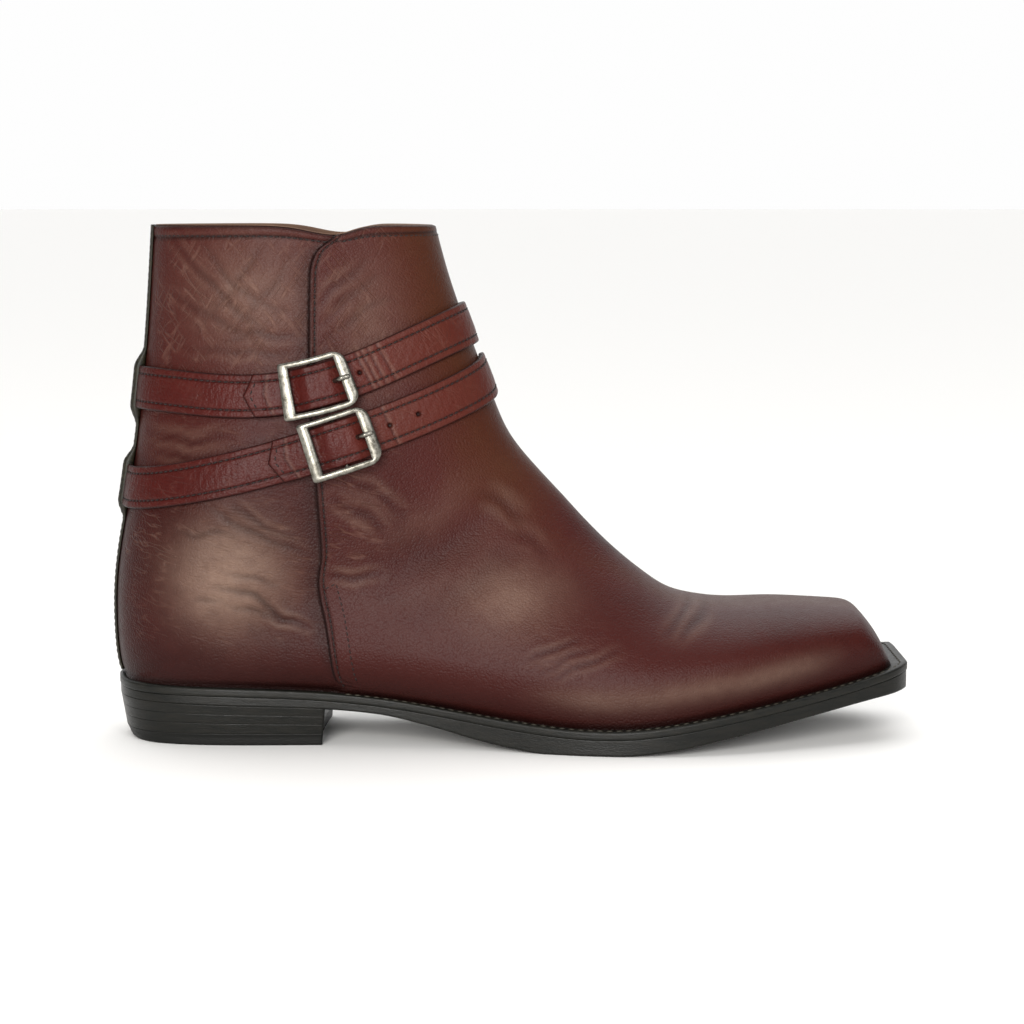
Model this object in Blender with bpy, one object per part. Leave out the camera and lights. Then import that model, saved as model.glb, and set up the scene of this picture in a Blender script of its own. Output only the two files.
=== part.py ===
"""Two-strap jodhpur boot for the right foot. Metres, +Z up, +X to the toe, -Y to the outer side."""

import math

import bmesh
import bpy
import numpy as np

# Named sizes in metres.
sole_length = 0.306
boot_height = 0.197
ball_width = 0.104
quarter_wall = 0.0020
flap_step = 0.0010
air_gap = 0.0003
welt_thickness = 0.0030
insole_thickness = 0.0052
insole_taper = 0.0034
toe_ledge = 0.0047
toe_lean = 1.3
edge_round = 0.0007
outsole_step = 0.0003
insole_clearance = 0.0009
welt_clearance = 0.0002
heel_length = 0.082
top_piece_thickness = 0.0046
heel_rake = 0.0030
breast_rake = 0.0012
breast_hollow = 0.0014
tread_round = 0.0009
strap_width = 0.0165
strap_thickness = 0.0022
strap_point = 0.0040
strap_edge = 0.0004
tip_reach = 0.0275
rear_strap_reach = 0.0010
seam_clearance = 0.0012
upper_strap_sag = 0.0115
lower_strap_sag = 0.0088
upper_sag_power = 2.0
lower_sag_power = 0.9
upper_buckle_place = 0.262
lower_buckle_place = 0.289
backstay_width = 0.0130
backstay_thickness = 0.0012
backstay_rise = 0.0036
backstay_clearance = 0.0016
buckle_length = 0.0266
buckle_bar_width = 0.0043
buckle_left_height = 0.0222
buckle_side_bar = 0.0024
buckle_thickness = 0.0017
buckle_corner = 0.0048
buckle_edge = 0.0004
buckle_gap = 0.0003
frame_clearance = 0.0021
centre_bar_radius = 0.0009
centre_bar_bend = 0.0008
prong_radius = 0.0008
prong_rest = 0.0002
prong_rise_place = 0.0062
strap_rise_place = 0.0085
strap_rise_run = 0.0060
strap_fall_place = 0.0045
strap_fall_run = 0.0095
hole_length = 0.0062
hole_width = 0.0028
step_place = 0.0090
step_run = 0.0080

# The last, section by section from the collar to the toe. Each section lies in a plane across the boot that
# holds its back or seat point and its top point. x is a share of sole_length, z of boot_height, the rest of
# ball_width. centre, outer and inner are measured from the heel's own centre line, belly is the widest line's
# distance up the section, power is the roundness of the section above it, ledge is how far the sole stands out.
last_columns = ("station", "x_low", "z_low", "x_top", "z_top", "centre", "outer", "inner",
                "seat_outer", "seat_inner", "belly", "power", "ledge")
last_rows = (
    ("collar", 0.0484, 1.0000, 0.4039, 1.0000, 0.0000, 0.2933, 0.2933, 0.0000, 0.0000, 0.5000, 2.35, 0.000),
    ("shaft", 0.0412, 0.8376, 0.4206, 0.9036, 0.0000, 0.2962, 0.2962, 0.0000, 0.0000, 0.5096, 2.35, 0.000),
    ("upper_strap", 0.0310, 0.6751, 0.4431, 0.8020, 0.0000, 0.3058, 0.3058, 0.0000, 0.0000, 0.5192, 2.40, 0.000),
    ("lower_strap", 0.0150, 0.4924, 0.4663, 0.7056, 0.0000, 0.3404, 0.3404, 0.0000, 0.0000, 0.5096, 2.42, 0.000),
    ("ankle", 0.0039, 0.3959, 0.4824, 0.6396, 0.0000, 0.3538, 0.3538, 0.0000, 0.0000, 0.4808, 2.45, 0.000),
    ("counter", -0.0039, 0.3046, 0.4951, 0.5964, 0.0000, 0.3558, 0.3558, 0.0000, 0.0000, 0.4519, 2.45, 0.000),
    ("counter", -0.0049, 0.2234, 0.5092, 0.5650, 0.0000, 0.3538, 0.3538, 0.0000, 0.0000, 0.4327, 2.45, 0.000),
    ("counter", -0.0026, 0.1624, 0.5212, 0.5431, 0.0000, 0.3500, 0.3500, 0.0000, 0.0000, 0.4135, 2.45, 0.000),
    ("heel_corner", 0.0026, 0.1218, 0.5310, 0.5264, 0.0000, 0.3462, 0.3462, 0.0000, 0.0000, 0.4038, 2.42, 0.010),
    ("seat", 0.0147, 0.1208, 0.5402, 0.5107, 0.0000, 0.3452, 0.3452, 0.1490, 0.1490, 0.3942, 2.38, 0.010),
    ("seat", 0.0458, 0.1193, 0.5513, 0.4924, 0.0000, 0.3462, 0.3453, 0.2452, 0.2452, 0.3846, 2.35, 0.011),
    ("seat", 0.0980, 0.1173, 0.5654, 0.4690, 0.0000, 0.3510, 0.3481, 0.2913, 0.2913, 0.3750, 2.30, 0.013),
    ("seat", 0.1699, 0.1147, 0.5833, 0.4381, 0.0000, 0.3606, 0.3559, 0.3038, 0.2981, 0.3558, 2.25, 0.014),
    ("breast", 0.2549, 0.1086, 0.6029, 0.4061, 0.0000, 0.3750, 0.3636, 0.2942, 0.2769, 0.3269, 2.20, 0.017),
    ("waist", 0.3399, 0.0959, 0.6225, 0.3761, 0.0029, 0.3942, 0.3712, 0.2962, 0.2577, 0.2885, 2.15, 0.021),
    ("waist", 0.4248, 0.0772, 0.6438, 0.3467, 0.0077, 0.4212, 0.3846, 0.3288, 0.2769, 0.2500, 2.10, 0.029),
    ("ball", 0.5065, 0.0599, 0.6683, 0.3162, 0.0154, 0.4500, 0.4096, 0.3846, 0.3308, 0.2115, 2.10, 0.038),
    ("ball", 0.5817, 0.0503, 0.6977, 0.2858, 0.0288, 0.4750, 0.4404, 0.4365, 0.3904, 0.1731, 2.12, 0.043),
    ("ball", 0.6536, 0.0523, 0.7320, 0.2685, 0.0481, 0.4827, 0.4654, 0.4615, 0.4365, 0.1490, 2.22, 0.043),
    ("vamp", 0.7255, 0.0670, 0.7761, 0.2584, 0.0712, 0.4654, 0.4750, 0.4462, 0.4558, 0.1298, 2.40, 0.043),
    ("toe_break", 0.7974, 0.0858, 0.8284, 0.2579, 0.0923, 0.4096, 0.4615, 0.3904, 0.4462, 0.1154, 2.60, 0.044),
    ("toe", 0.8595, 0.1030, 0.8775, 0.2538, 0.1096, 0.3385, 0.4385, 0.3192, 0.4231, 0.1058, 2.80, 0.045),
    ("toe", 0.9085, 0.1178, 0.9134, 0.2497, 0.1202, 0.2750, 0.4115, 0.2577, 0.3981, 0.0962, 3.00, 0.046),
    ("toe", 0.9395, 0.1284, 0.9363, 0.2437, 0.1250, 0.2346, 0.3885, 0.2173, 0.3769, 0.0865, 3.00, 0.047),
    ("toe", 0.9592, 0.1360, 0.9510, 0.2244, 0.1269, 0.2019, 0.3635, 0.1865, 0.3538, 0.0577, 3.00, 0.050),
    ("toe", 0.9719, 0.1411, 0.9650, 0.1929, 0.1279, 0.1615, 0.3308, 0.1519, 0.3231, 0.0288, 3.00, 0.056),
    ("toe_edge", 0.9788, 0.1442, 0.9784, 0.1447, 0.1288, 0.1077, 0.2904, 0.1077, 0.2904, 0.0005, 3.00, 0.062),
)
upper_strap_row = 1.94
corner_row = 8.0
toe_row = float(len(last_rows) - 1)

# The outsole's underside: x as a share of sole_length, z of boot_height. It is flat on the floor at the ball.
underside_columns = ("x", "z")
underside_rows = (
    (-0.010, 0.0860),
    (0.120, 0.0800),
    (0.260, 0.0730),
    (0.330, 0.0640),
    (0.400, 0.0420),
    (0.460, 0.0190),
    (0.510, 0.0050),
    (0.540, 0.0000),
    (0.625, 0.0000),
    (0.690, 0.0090),
    (0.752, 0.0270),
    (0.817, 0.0470),
    (0.886, 0.0680),
    (0.951, 0.0870),
    (1.000, 0.0990),
)

# The edge of the front flap seen from the side: z as a share of boot_height, x of sole_length.
flap_columns = ("z", "x")
flap_rows = (
    (0.100, 0.2900),
    (0.132, 0.2820),
    (0.239, 0.2710),
    (0.320, 0.2620),
    (0.376, 0.2660),
    (0.477, 0.2620),
    (0.756, 0.2520),
    (0.908, 0.2535),
    (0.942, 0.2590),
    (0.968, 0.2700),
    (1.000, 0.2860),
)

for old in list(bpy.data.objects):
    bpy.data.objects.remove(old, do_unlink=True)

boot_collection = bpy.data.collections.new("jodhpur_boot")
bpy.context.scene.collection.children.link(boot_collection)
cutter_collection = bpy.data.collections.new("cutters")
bpy.context.scene.collection.children.link(cutter_collection)


def monotone(xs, ys, at):
    """Curve through the points that never overshoots them."""
    xs = np.asarray(xs, float)
    ys = np.asarray(ys, float)
    step = np.diff(xs)
    rise = np.diff(ys) / step
    slope = np.zeros_like(xs)
    same = rise[:-1] * rise[1:] > 0.0
    first = 2.0 * step[1:] + step[:-1]
    second = step[1:] + 2.0 * step[:-1]
    safe_a = np.where(same, rise[:-1], 1.0)
    safe_b = np.where(same, rise[1:], 1.0)
    slope[1:-1] = np.where(same, (first + second) / (first / safe_a + second / safe_b), 0.0)
    slope[0] = rise[0]
    slope[-1] = rise[-1]
    at = np.asarray(at, float)
    k = np.clip(np.searchsorted(xs, at, side="right") - 1, 0, len(xs) - 2)
    t = (at - xs[k]) / step[k]
    inside = (
        (1.0 + 2.0 * t) * (1.0 - t) ** 2 * ys[k]
        + t * (1.0 - t) ** 2 * step[k] * slope[k]
        + t * t * (3.0 - 2.0 * t) * ys[k + 1]
        + t * t * (t - 1.0) * step[k] * slope[k + 1]
    )
    below = ys[0] + slope[0] * (at - xs[0])
    above = ys[-1] + slope[-1] * (at - xs[-1])
    return np.where(at < xs[0], below, np.where(at > xs[-1], above, inside))


def spline_column(values, at):
    """Smooth curve through evenly spaced values, with second differences that run on."""
    values = np.asarray(values, float)
    count = len(values)
    matrix = np.zeros((count, count))
    right = np.zeros(count)
    matrix[0, 0] = 1.0
    matrix[-1, -1] = 1.0
    for k in range(1, count - 1):
        matrix[k, k - 1 : k + 2] = (1.0, 4.0, 1.0)
        right[k] = 6.0 * (values[k - 1] - 2.0 * values[k] + values[k + 1])
    bend = np.linalg.solve(matrix, right)
    at = np.clip(np.asarray(at, float), 0.0, count - 1.0)
    k = np.minimum(at.astype(int), count - 2)
    t = at - k
    line = values[k] * (1.0 - t) + values[k + 1] * t
    return line + ((1.0 - t) ** 3 - (1.0 - t)) * bend[k] / 6.0 + (t ** 3 - t) * bend[k + 1] / 6.0


last_scale = {"x_low": sole_length, "x_top": sole_length, "z_low": boot_height, "z_top": boot_height, "power": 1.0}


def column(columns, rows, name):
    """The values of one named column of a table."""
    index = columns.index(name)
    return [line[index] for line in rows]


def last_value(name, row):
    """One column of the last's table at any place along it; the seat starts anew at the heel's corner."""
    values = column(last_columns, last_rows, name)
    corner = int(corner_row)
    scale = last_scale.get(name, ball_width)
    if name in ("x_low", "z_low", "seat_outer", "seat_inner"):
        shaft = spline_column(values[: corner + 1], np.minimum(row, corner_row))
        foot = spline_column(values[corner:], np.maximum(row, corner_row) - corner_row)
        return np.where(np.asarray(row) <= corner_row, shaft, foot) * scale
    return spline_column(values, row) * scale


sheet_rows = 8 * int(toe_row) + 1
half_columns = 72
row_numbers = np.linspace(0.0, toe_row, sheet_rows)
last_table = {name: last_value(name, row_numbers) for name in last_columns[1:]}


def half_section(k, side):
    """Points of one half of a section, evenly spaced from the seat or back seam up to the top line."""
    table = {name: values[k] for name, values in last_table.items()}
    centre = table["centre"]
    low = np.array((table["x_low"], table["z_low"]))
    top = np.array((table["x_top"], table["z_top"]))
    span = max(float(np.hypot(*(top - low))), 1e-6)
    along = (top - low) / span
    wide = table["outer"] + centre if side < 0 else table["inner"] - centre
    seat = table["seat_outer"] + centre if side < 0 else table["seat_inner"] - centre
    shaft = row_numbers[k] <= corner_row
    seat = 0.0 if shaft else min(max(seat, 0.0), 0.9999 * wide)
    belly = min(table["belly"], 0.9 * span)
    start = -math.acos(seat / wide)
    depth = belly / max(abs(math.sin(start)), 1e-6)
    power = 2.0 / table["power"]
    angle = np.linspace(start, 0.5 * math.pi, 400)
    sine = np.sin(angle)
    over = np.maximum(sine, 0.0) ** power
    height = np.where(sine >= 0.0, belly + (span - belly) * over, belly + depth * sine)
    cosine = np.maximum(np.cos(angle), 0.0)
    width = wide * np.where(sine >= 0.0, cosine ** power, cosine)
    x = low[0] + along[0] * height
    z = low[1] + along[1] * height
    y = centre + side * width
    length = np.concatenate(([0.0], np.cumsum(np.sqrt(np.diff(x) ** 2 + np.diff(y) ** 2 + np.diff(z) ** 2))))
    even = np.linspace(0.0, length[-1], half_columns + 1)
    return np.stack([np.interp(even, length, axis) for axis in (x, y, z)], axis=1)


sheet = np.zeros((sheet_rows, 2 * half_columns + 1, 3))
for index in range(sheet_rows):
    sheet[index, : half_columns + 1] = half_section(index, -1.0)
    sheet[index, half_columns:] = half_section(index, 1.0)[::-1]

# The leather draws smoothly over the last where the shaft's sections meet the foot's, away from the seat line.
calm_rows = np.exp(-(((row_numbers[1:-1] - corner_row) / 2.6) ** 2))
calm_columns = np.clip(np.sin(np.linspace(0.0, math.pi, 2 * half_columns + 1)) * 5.0, 0.0, 1.0)
calm = 0.5 * calm_rows[:, None, None] * calm_columns[None, :, None]
for _ in range(90):
    sheet[1:-1] += calm * (0.5 * (sheet[:-2] + sheet[2:]) - sheet[1:-1])


def skin(row, across):
    """Point of the last's surface. across is 0 at the outer seat, 1 on the top line and 2 at the inner seat."""
    a = np.clip(np.asarray(row, float) / toe_row, 0.0, 1.0) * (sheet_rows - 1)
    b = np.clip(np.asarray(across, float) / 2.0, 0.0, 1.0) * (2 * half_columns)
    i = np.minimum(a.astype(int), sheet_rows - 2)
    j = np.minimum(b.astype(int), 2 * half_columns - 1)
    s = (a - i)[..., None]
    t = (b - j)[..., None]
    near = sheet[i, j] * (1.0 - t) + sheet[i, j + 1] * t
    far = sheet[i + 1, j] * (1.0 - t) + sheet[i + 1, j + 1] * t
    return near * (1.0 - s) + far * s


def slopes(row, across):
    """How the surface runs along the rows and across them."""
    row = np.asarray(row, float)
    across = np.asarray(across, float)
    row_a = np.clip(row - 0.12, 0.0, toe_row)
    row_b = np.clip(row + 0.12, 0.0, toe_row)
    across_a = np.clip(across - 0.02, 0.0, 2.0)
    across_b = np.clip(across + 0.02, 0.0, 2.0)
    down = (skin(row_b, across) - skin(row_a, across)) / (row_b - row_a)[..., None]
    over = (skin(row, across_b) - skin(row, across_a)) / (across_b - across_a)[..., None]
    return down, over


def outward(row, across):
    """Unit normal of the surface; on the back seam it is the mean of both sides."""
    row = np.asarray(row, float)
    across = np.asarray(across, float)
    down, over = slopes(row, across)
    normal = np.cross(down, over)
    seam = (row <= corner_row) & ((across < 0.000001) | (across > 1.999999))
    down, over = slopes(row, 2.0 - across)
    other = np.cross(down, over)
    normal = np.where(seam[..., None], normal + other, normal)
    return normal / np.maximum(np.linalg.norm(normal, axis=-1, keepdims=True), 1e-12)


def flap_edge(row):
    """Share across the outer half at which the front flap's edge runs, or 0 ahead of its foot."""
    shares = np.linspace(0.0, 1.0, 181)
    points = skin(np.full_like(shares, row), shares)
    heights = np.array(column(flap_columns, flap_rows, "z")) * boot_height
    edge = monotone(heights, np.array(column(flap_columns, flap_rows, "x")) * sole_length, points[:, 2])
    ahead = points[:, 0] - edge
    crossing = np.nonzero((ahead[:-1] < 0.0) & (ahead[1:] >= 0.0))[0]
    if len(crossing) == 0:
        return 0.0
    k = crossing[-1]
    return shares[k] + (shares[k + 1] - shares[k]) * ahead[k] / (ahead[k] - ahead[k + 1])


def seat_height(x):
    rows = np.linspace(corner_row, toe_row, 200)
    xs = last_value("x_low", rows)
    zs = last_value("z_low", rows)
    ahead = (zs[-1] - zs[-30]) / (xs[-1] - xs[-30])
    return np.interp(x, xs, zs) + ahead * np.maximum(x - xs[-1], 0.0)


def material(name, colour, rough, metal):
    made = bpy.data.materials.new(name)
    made.use_nodes = True
    shader = made.node_tree.nodes["Principled BSDF"]
    shader.inputs["Base Color"].default_value = (*colour, 1.0)
    shader.inputs["Roughness"].default_value = rough
    shader.inputs["Metallic"].default_value = metal
    return made


def solid(name, points, faces, colour, rough, metal=0.0):
    """One closed body from points measured from the heel's back, placed so that the heel's middle is at 0."""
    mesh = bpy.data.meshes.new(name)
    mesh.from_pydata([tuple(float(value) for value in point) for point in points], [], faces)
    made = bmesh.new()
    made.from_mesh(mesh)
    bmesh.ops.remove_doubles(made, verts=made.verts, dist=0.000005)
    bmesh.ops.recalc_face_normals(made, faces=made.faces)
    if made.calc_volume(signed=True) < 0.0:
        bmesh.ops.reverse_faces(made, faces=made.faces)
    made.to_mesh(mesh)
    made.free()
    for face in mesh.polygons:
        face.use_smooth = True
    item = bpy.data.objects.new(name, mesh)
    item.location = (-0.5 * heel_length, 0.0, 0.0)
    item.data.materials.append(material(name + "_finish", colour, rough, metal))
    boot_collection.objects.link(item)
    return item


def tube_faces(rings, count, closed_run=False):
    """Faces of a body swept through rings of equal count, with a cap at each end unless the run closes."""
    faces = []
    runs = rings if closed_run else rings - 1
    for ring in range(runs):
        near = ring * count
        far = ((ring + 1) % rings) * count
        for k in range(count):
            nxt = (k + 1) % count
            faces.append((near + k, near + nxt, far + nxt, far + k))
    if not closed_run:
        faces.append(tuple(range(count))[::-1])
        faces.append(tuple((rings - 1) * count + k for k in range(count)))
    return faces


# Upper: one hollow shell. The rear quarter lies one flap_step lower than the front flap that laps it.
foot_rows = corner_row + (toe_row - 3.0 - corner_row) * np.linspace(0.0, 1.0, 19)[1:] ** 1.35
upper_rows = np.concatenate((np.linspace(0.0, corner_row, 12), foot_rows, toe_row - np.array((2.0, 1.0, 0.0))))
rear_columns = 6
front_columns = 10


def half_shares(row):
    """Shares across the outer half, with the flap's edge always between two near columns."""
    edge = min(max(flap_edge(row), 0.07), 0.93)
    span = float(np.linalg.norm(slopes(row, 0.5)[1])) + 1e-9
    width = min(0.0012 / span, 0.02)
    rear = np.linspace(0.0, edge - width, rear_columns)
    front = np.linspace(edge, 1.0, front_columns)
    return np.concatenate((rear, front))


outer_points = []
inner_points = []
for row in upper_rows:
    share = half_shares(row)
    edge_here = flap_edge(row)
    behind = np.zeros(len(share))
    if edge_here > 0.0:
        behind[:rear_columns] = 1.0
    shares = np.concatenate((share, 2.0 - share[-2::-1]))
    sunk = np.concatenate((behind, behind[-2::-1]))
    places = skin(np.full_like(shares, row), shares)
    normals = outward(np.full_like(shares, row), shares)
    outer_points.append(places - normals * (sunk * flap_step)[:, None])
    inner_points.append(places - normals * (flap_step + quarter_wall))
width_count = len(outer_points[0])
row_count = len(upper_rows)
upper_points = np.concatenate(outer_points + inner_points)
below_seat = upper_points[:, 2] < seat_height(upper_points[:, 0])
upper_points[below_seat, 2] = seat_height(upper_points[below_seat, 0])
upper_faces = []
inner_start = row_count * width_count
for i in range(row_count - 1):
    for j in range(width_count - 1):
        a = i * width_count + j
        b = a + width_count
        upper_faces.append((a, a + 1, b + 1, b))
        upper_faces.append((inner_start + a, inner_start + b, inner_start + b + 1, inner_start + a + 1))
corner_index = int(np.argmin(np.abs(upper_rows - corner_row)))
for j in range(width_count - 1):
    a = j
    upper_faces.append((a, inner_start + a, inner_start + a + 1, a + 1))
    b = (row_count - 1) * width_count + j
    upper_faces.append((b, b + 1, inner_start + b + 1, inner_start + b))
for i in range(corner_index, row_count - 1):
    for edge_column in (0, width_count - 1):
        a = i * width_count + edge_column
        b = a + width_count
        upper_faces.append((a, b, inner_start + b, inner_start + a))
solid("upper", upper_points, upper_faces, (0.11, 0.035, 0.028), 0.42)


# Sole: every layer takes its outline from the last's seat line.
seat_count = 40
seat_rows = corner_row + (toe_row - corner_row) * np.linspace(0.0, 1.0, seat_count) ** 0.9
front_count = 5


def seat_outline(stand_out):
    """Seat line in plan, moved outward by a distance for each place; half of it per side, ends paired."""
    outer = skin(seat_rows, np.zeros(seat_count))
    inner = skin(seat_rows, np.full(seat_count, 2.0))
    front = skin(np.full(front_count, toe_row), np.linspace(0.0, 1.0, front_count + 2)[1:-1] * 2.0)
    loop = np.concatenate((outer, front, inner[:0:-1]))[:, :2]
    ledge = last_value("ledge", seat_rows)
    ledges = np.concatenate((ledge, np.full(front_count, ledge[-1]), ledge[:0:-1]))
    tangent = np.roll(loop, -1, axis=0) - np.roll(loop, 1, axis=0)
    tangent /= np.maximum(np.linalg.norm(tangent, axis=1, keepdims=True), 1e-9)
    side = np.stack((tangent[:, 1], -tangent[:, 0]), axis=1)
    for _ in range(2):
        side = side + 0.5 * (np.roll(side, 1, axis=0) + np.roll(side, -1, axis=0))
        side /= np.linalg.norm(side, axis=1, keepdims=True)
    return loop + side * stand_out(ledges)[:, None]


def underside_height(x):
    places = np.array(column(underside_columns, underside_rows, "x")) * sole_length
    return monotone(places, np.array(column(underside_columns, underside_rows, "z")) * boot_height, x)


def loop_pairs(count):
    """Index pairs that join the two sides of a loop that starts at the heel's back."""
    return [(k, count - k) for k in range(1, (count - 1) // 2 + 1)]


def layer(name, rings, heights, colour, rough, metal=0.0):
    """Plate built of stacked outlines; each height is a function of x."""
    count = len(rings[0])
    points = []
    for ring, height in zip(rings, heights):
        points.extend(np.column_stack((ring, height(ring[:, 0]))))
    faces = tube_faces(len(rings), count)[:-2]
    pairs = loop_pairs(count)
    top = (len(rings) - 1) * count
    for start in (0, top):
        faces.append((start, start + pairs[0][0], start + pairs[0][1]))
        for (a, b), (c, d) in zip(pairs[:-1], pairs[1:]):
            faces.append((start + a, start + c, start + d, start + b))
        last_a, last_b = pairs[-1]
        if last_b - last_a > 1:
            faces.append(tuple(start + k for k in range(last_a, last_b + 1)))
    return solid(name, points, faces, colour, rough, metal)


def wall_at_seat(ledge):
    """Thickness of the upper in plan along the seat line; it grows where the toe's front leans back."""
    return flap_step + quarter_wall + toe_lean * np.maximum(ledge - toe_ledge, 0.0)


outsole_rim = seat_outline(lambda ledge: ledge - outsole_step)
outsole_inset = seat_outline(lambda ledge: ledge - outsole_step - edge_round)


def welt_top(x):
    return seat_height(x) - air_gap


def welt_base(x):
    return seat_height(x) - air_gap - welt_thickness


def outsole_top(x):
    return welt_base(x) - air_gap


layer(
    "outsole",
    [outsole_inset, outsole_rim, outsole_rim, outsole_inset],
    [
        underside_height,
        lambda x: underside_height(x) + edge_round,
        lambda x: outsole_top(x) - edge_round,
        outsole_top,
    ],
    (0.018, 0.019, 0.015),
    0.45,
)
layer(
    "insole",
    [
        seat_outline(lambda ledge: -wall_at_seat(ledge) - insole_clearance),
        seat_outline(lambda ledge: -wall_at_seat(ledge) - insole_clearance),
        seat_outline(lambda ledge: -wall_at_seat(ledge) - insole_taper),
    ],
    [
        lambda x: outsole_top(x) + air_gap,
        welt_top,
        lambda x: outsole_top(x) + air_gap + insole_thickness,
    ],
    (0.30, 0.17, 0.09),
    0.7,
)

welt_rim = seat_outline(lambda ledge: ledge)
welt_inset = seat_outline(lambda ledge: ledge - edge_round)
welt_hole = seat_outline(lambda ledge: -wall_at_seat(ledge) - welt_clearance)
welt_rings = (
    (welt_hole, welt_base),
    (welt_inset, welt_base),
    (welt_rim, lambda x: welt_base(x) + edge_round),
    (welt_rim, lambda x: welt_top(x) - edge_round),
    (welt_inset, welt_top),
    (welt_hole, welt_top),
)
welt_points = []
for ring, height in welt_rings:
    welt_points.extend(np.column_stack((ring, height(ring[:, 0]))))
solid("welt", welt_points, tube_faces(len(welt_rings), len(welt_rim), True), (0.022, 0.022, 0.018), 0.5)


# Heel: the stack under the seat and the top piece that it walks on, raked in toward the floor.
def heel_outline(drop):
    """Heel in plan at a share of its height below the seat, from the back round to the breast."""
    rim = seat_outline(lambda ledge: ledge - outsole_step - heel_rake * drop * 0.8)
    rim = rim + np.array((heel_rake * drop * 0.2, 0.0))
    half = len(rim) // 2
    breast = heel_length - breast_rake * drop
    sides = []
    for chain in (rim[: half + 1], np.concatenate((rim[:1], rim[:half:-1]))):
        keep = int(np.argmax(chain[:, 0] > breast))
        t = (breast - chain[keep - 1, 0]) / (chain[keep, 0] - chain[keep - 1, 0])
        end = chain[keep - 1] * (1.0 - t) + chain[keep] * t
        full = np.concatenate((chain[:keep], end[None]))
        length = np.concatenate(([0.0], np.cumsum(np.linalg.norm(np.diff(full, axis=0), axis=1))))
        even = np.linspace(0.0, 1.0, 15) * length[-1]
        sides.append(np.stack([np.interp(even, length, full[:, k]) for k in range(2)], axis=1))
    outer, inner = sides
    middle = 0.5 * (outer[-1] + inner[-1]) - np.array((breast_hollow, 0.0))
    return np.concatenate((outer, middle[None], inner[:0:-1]))


heel_top_height = float(underside_height(0.5 * heel_length))
stack_rings = []
stack_heights = []
for drop, height in (
    (1.0 - top_piece_thickness / heel_top_height, lambda x: 0.0 * x + top_piece_thickness + air_gap),
    (0.35, lambda x: top_piece_thickness + 0.65 * (underside_height(x) - top_piece_thickness)),
    (0.0, lambda x: underside_height(x) - air_gap),
):
    stack_rings.append(heel_outline(drop))
    stack_heights.append(height)
layer("heel_stack", stack_rings, stack_heights, (0.018, 0.019, 0.015), 0.4)
piece_top = 1.0 - top_piece_thickness / heel_top_height
layer(
    "heel_top_piece",
    [heel_outline(1.35), heel_outline(1.06), heel_outline(piece_top)],
    [lambda x: 0.0 * x, lambda x: 0.0 * x + tread_round, lambda x: 0.0 * x + top_piece_thickness],
    (0.012, 0.012, 0.012),
    0.7,
)


# Straps, backstay, buckles: all follow the last's surface at a height above it.
class Band:
    """Places beside a line round the ankle: dist runs from the outer back seam, side crosses it downward.

    The line follows one row of the last at the back and front and drops by sag halfway along each side."""

    def __init__(self, row, sag, sag_power):
        self.shares = np.linspace(0.0, 2.0, 801)
        level_row = np.full_like(self.shares, row)
        per_row = np.linalg.norm(slopes(level_row, self.shares)[0], axis=1)
        self.rows = level_row + sag * np.abs(np.sin(math.pi * self.shares)) ** sag_power / per_row
        line = skin(self.rows, self.shares)
        self.dists = np.concatenate(([0.0], np.cumsum(np.linalg.norm(np.diff(line, axis=0), axis=1))))
        self.total = float(self.dists[-1])
        self.flap = float(np.interp(flap_edge(self.rows[200]), self.shares, self.dists))
        self.line_x = line[:, 0]

    def ground(self, dist):
        """Level of the boot's own leather: the rear quarter is one flap_step lower on both sides."""
        ahead = np.minimum(dist, self.total - dist) - self.flap
        return flap_step * (np.clip((ahead + step_place) / step_run, 0.0, 1.0) - 1.0)

    def place(self, dist, side):
        """Row and share of a place beside the line."""
        share = np.interp(dist, self.dists, self.shares)
        row = np.interp(dist, self.dists, self.rows)
        reach = 0.002
        share_on = np.interp(dist + reach, self.dists, self.shares) - np.interp(dist - reach, self.dists, self.shares)
        row_on = np.interp(dist + reach, self.dists, self.rows) - np.interp(dist - reach, self.dists, self.rows)
        down, over = slopes(row, share)
        ahead = down * row_on[..., None] + over * share_on[..., None]
        straight = np.cross(ahead, outward(row, share))
        straight /= np.linalg.norm(straight, axis=-1, keepdims=True)
        straight *= np.sign(np.sum(straight * down, axis=-1))[..., None]
        row_now, share_now = row, share
        for part_way in (0.5, 1.0):
            down, over = slopes(row_now, share_now)
            down_down = np.sum(down * down, axis=-1)
            down_over = np.sum(down * over, axis=-1)
            over_over = np.sum(over * over, axis=-1)
            down_part = np.sum(down * straight, axis=-1)
            over_part = np.sum(over * straight, axis=-1)
            area = down_down * over_over - down_over * down_over
            row_now = row + part_way * side * (down_part * over_over - over_part * down_over) / area
            share_now = share + part_way * side * (over_part * down_down - down_part * down_over) / area
        return row_now, share_now

    def point(self, dist, side, level):
        dist, side, level = np.broadcast_arrays(np.asarray(dist, float), side, level)
        row, share = self.place(dist, side)
        return skin(row, share) + outward(row, share) * (level + self.ground(dist))[..., None]

    def at_x(self, x):
        """Distance along the outer side at which the band passes x."""
        return float(np.interp(x, self.line_x[:401], self.dists[:401]))


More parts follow.
